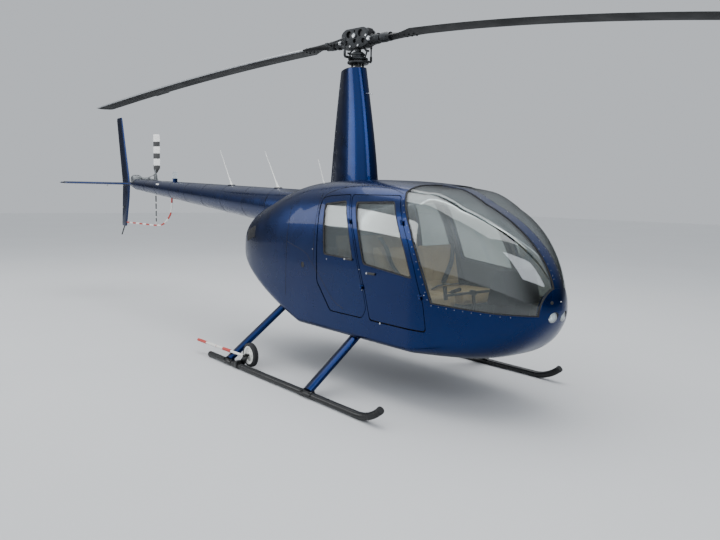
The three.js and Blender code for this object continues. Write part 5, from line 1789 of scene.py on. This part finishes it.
# Flight controls: the T-shaped cyclic between the front seats with a grip at each end and a rubber gaiter
# on the floor, a collective lever at each seat's left and two pairs of pedals on steel arms.
STICK = {"x": 1590, "top": 905, "reach": 330}
GRIP = [
    (0.01, 0), (14, 0), (16.5, 5), (17, 30), (15, 48), (16.5, 66), (16, 92), (18, 100), (15, 109),
    (0.01, 111),
]
LEVER_GRIP = [(0.01, 0), (15, 0), (16, 8), (16, 96), (13, 104), (0.01, 106)]
GAITER = [
    (52, 0), (52, 6), (44, 9), (40, 16), (42, 20), (34, 26), (36, 31), (28, 38), (29, 43), (20, 52), (16, 62),
    (14, 62),
]


def on_stick(x, y, z=0):
    """A point given from the head of the stick."""
    return at(STICK["x"] + x, y, STICK["top"] + z)


bar_half = STICK["reach"] - 12
stem = rod("cyclic_stem", at(1660, 0, 501), on_stick(0, 0), 14, sides=24)
pivot = softened(rod("cyclic_pivot", on_stick(-26, 0), on_stick(26, 0), 22), 4)
handle_bar = rod("cyclic_bar", on_stick(0, -bar_half), on_stick(0, bar_half), 11)
keep(joined(stem, pivot, handle_bar), "airframe", "black_plastic", black, replaces=["cyclic_stick"])
grips = []
for y in (-bar_half, bar_half):
    grips.append(turned("grip", GRIP, on_stick(3, y, -35), on_stick(-15, y, 75), 28))
levers = []
for y in (0, 508):
    low, high = at(1120, y, 792), at(1440, y, 915)
    reach = high - low
    levers.append(rod("collective", low, high, 11))
    grips.append(turned("grip", LEVER_GRIP, low + reach * 0.72, high + reach, 24))
for y in (-345, -215, 215, 345):
    levers.append(rod("pedal_arm", at(1935, y, 503), at(1915, y, 600), 8))
    levers.append(softened(block("pedal", 1902, 1914, y - 42, y + 42, 575, 640), 5))
keep(joined(*grips), "airframe", "black_plastic", rubber).name = "control_grips"
keep(joined(*levers), "airframe", "black_plastic", black).name = "collectives_and_pedals"
gaiter = turned("cyclic_gaiter", GAITER, at(1660, 0, 500.5), at(1642, 0, 604), 32)
keep(gaiter, "airframe", "black_plastic", rubber)


# Seat belts: flat black webbing over the cushions and the front backrests, with bright buckles. Each
# front seat has a lap and a shoulder belt, and the rear bench has two lap belts.
def black_webbing():
    """Woven nylon webbing: charcoal, matt, with a fine twill across the strap."""
    return mottled(
        "black_webbing", "161618", "232326", 15, 1.2, 0.3, rough=(0.75, 0.9), Sheen_Weight=0.2
    )


def strap(name, corners, faces, width=46, thick=1.6):
    """Flat webbing along corners; faces gives the direction that its flat side faces at each."""
    points = flowing(corners, 0.012)
    last = len(points) - 1

    def place(turn, along):
        i = round(along * last)
        tangent = (points[min(last, i + 1)] - points[max(0, i - 1)]).normalized()
        flat = faces[0].lerp(faces[-1], along)
        flat = (flat - tangent * flat.dot(tangent)).normalized()
        side = tangent.cross(flat)
        angle = 2 * math.pi * turn
        across, up = math.cos(angle), math.sin(angle)
        square = max(abs(across), abs(up))
        return points[i] + side * (across / square * width / 2000) + flat * (up / square * thick / 2000)

    return rolled(name, place, 8, last)


webbing = black_webbing()
straps, buckles = [], []
skyward, forward = Vector((0, 0, 1)), Vector((1, 0, 0.2))
for side in (-1, 1):
    y = side * 262
    edge, inner = y + side * 226, y - side * 226
    lap = [
        (1062, edge, 868), (1100, edge - side * 60, 903), (1120, y, 908), (1100, inner + side * 60, 903),
        (1062, inner, 868),
    ]
    shoulder = [
        (878, y + side * 150, 1330), (925, y + side * 148, 1278), (955, y + side * 140, 1240),
        (985, y + side * 100, 1100), (1020, y - side * 10, 960), (1050, y - side * 60, 915),
        (1105, y - side * 90, 909),
    ]
    straps.append(strap("lap_belt", [at(*spot) for spot in lap], [skyward, skyward]))
    straps.append(strap("shoulder_belt", [at(*spot) for spot in shoulder], [forward, forward + skyward]))
    catch = y - side * 90
    buckles.append(softened(block("buckle", 1080, 1138, catch - 24, catch + 24, 906, 919), 3))
for y in (-252, 252):
    rear = [(545, y - 215, 872), (590, y - 160, 903), (610, y, 908), (590, y + 160, 903), (545, y + 215, 872)]
    straps.append(strap("rear_belt", [at(*spot) for spot in rear], [skyward, skyward]))
    buckles.append(softened(block("buckle", 582, 636, y - 22, y + 22, 906, 919), 3))
keep(joined(*straps), "airframe", "black_plastic", webbing).name = "seat_belts"
keep(joined(*buckles), "airframe", "bare_aluminium", steel).name = "belt_buckles"

# Small fittings on the skin: the fresh-air inlet and a vent in the nose, a round drain in each side, a
# blank placard on the tail cone and a small white lamp under the horizontal fin.
def plug(name, start, way, radius, proud):
    """A low turned plug where a line from start meets the body, let in by a millimetre."""
    _, spot, out, _ = outer_form.ray_cast(start, way)
    foot = spot - out * 0.001
    profile = [(0.01, 0), (radius, 0), (radius, proud * 0.6), (radius * 0.85, proud), (0.01, proud)]
    return turned(name, profile, foot, foot + out, 28), foot, out


DRAIN_RIM = [(27, 0), (32, 0), (31, 3), (27, 3)]
inlet, _, _ = plug("nose_inlet", at(2600, -87, 939), BACKWARDS, 13, 2)
keep(inlet, "airframe", "black_plastic", rubber)
probe, _, _ = plug("nose_probe", at(2600, -12, 945), BACKWARDS, 4, 5)
keep(probe, "airframe", "antenna_white", gelcoat)
for side, name in BOTH:
    drain, foot, out = plug("side_drain_" + name, at(-5, side * 900, 1026), -side * ACROSS, 27, 2)
    keep(drain, "airframe", "black_plastic", rubber)
    rim = turned("side_drain_rim_" + name, DRAIN_RIM, foot, foot + out, 32)
    keep(rim, "airframe", "blue_paint", paint)
placard = block("placard", -4776, -4676, -101.5, -99, 1757, 1801)
keep(softened(placard, 0.6), "airframe", "white_paint", white)
FIN_LAMP = [(0.01, 0), (11, 0), (11, 20), (8, 28), (0.01, 30)]
lamp_spot = at(-6200, -350, 1779)
keep(turned("fin_lamp", FIN_LAMP, lamp_spot, lamp_spot - UP, 24), "airframe", "lamp_glass", gelcoat)

# Last, the forms that the pieces were cut from are removed.
for form in [o for o in bpy.data.objects if o.type == "MESH" and not body_of(o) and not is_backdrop(o)]:
    discard(form)
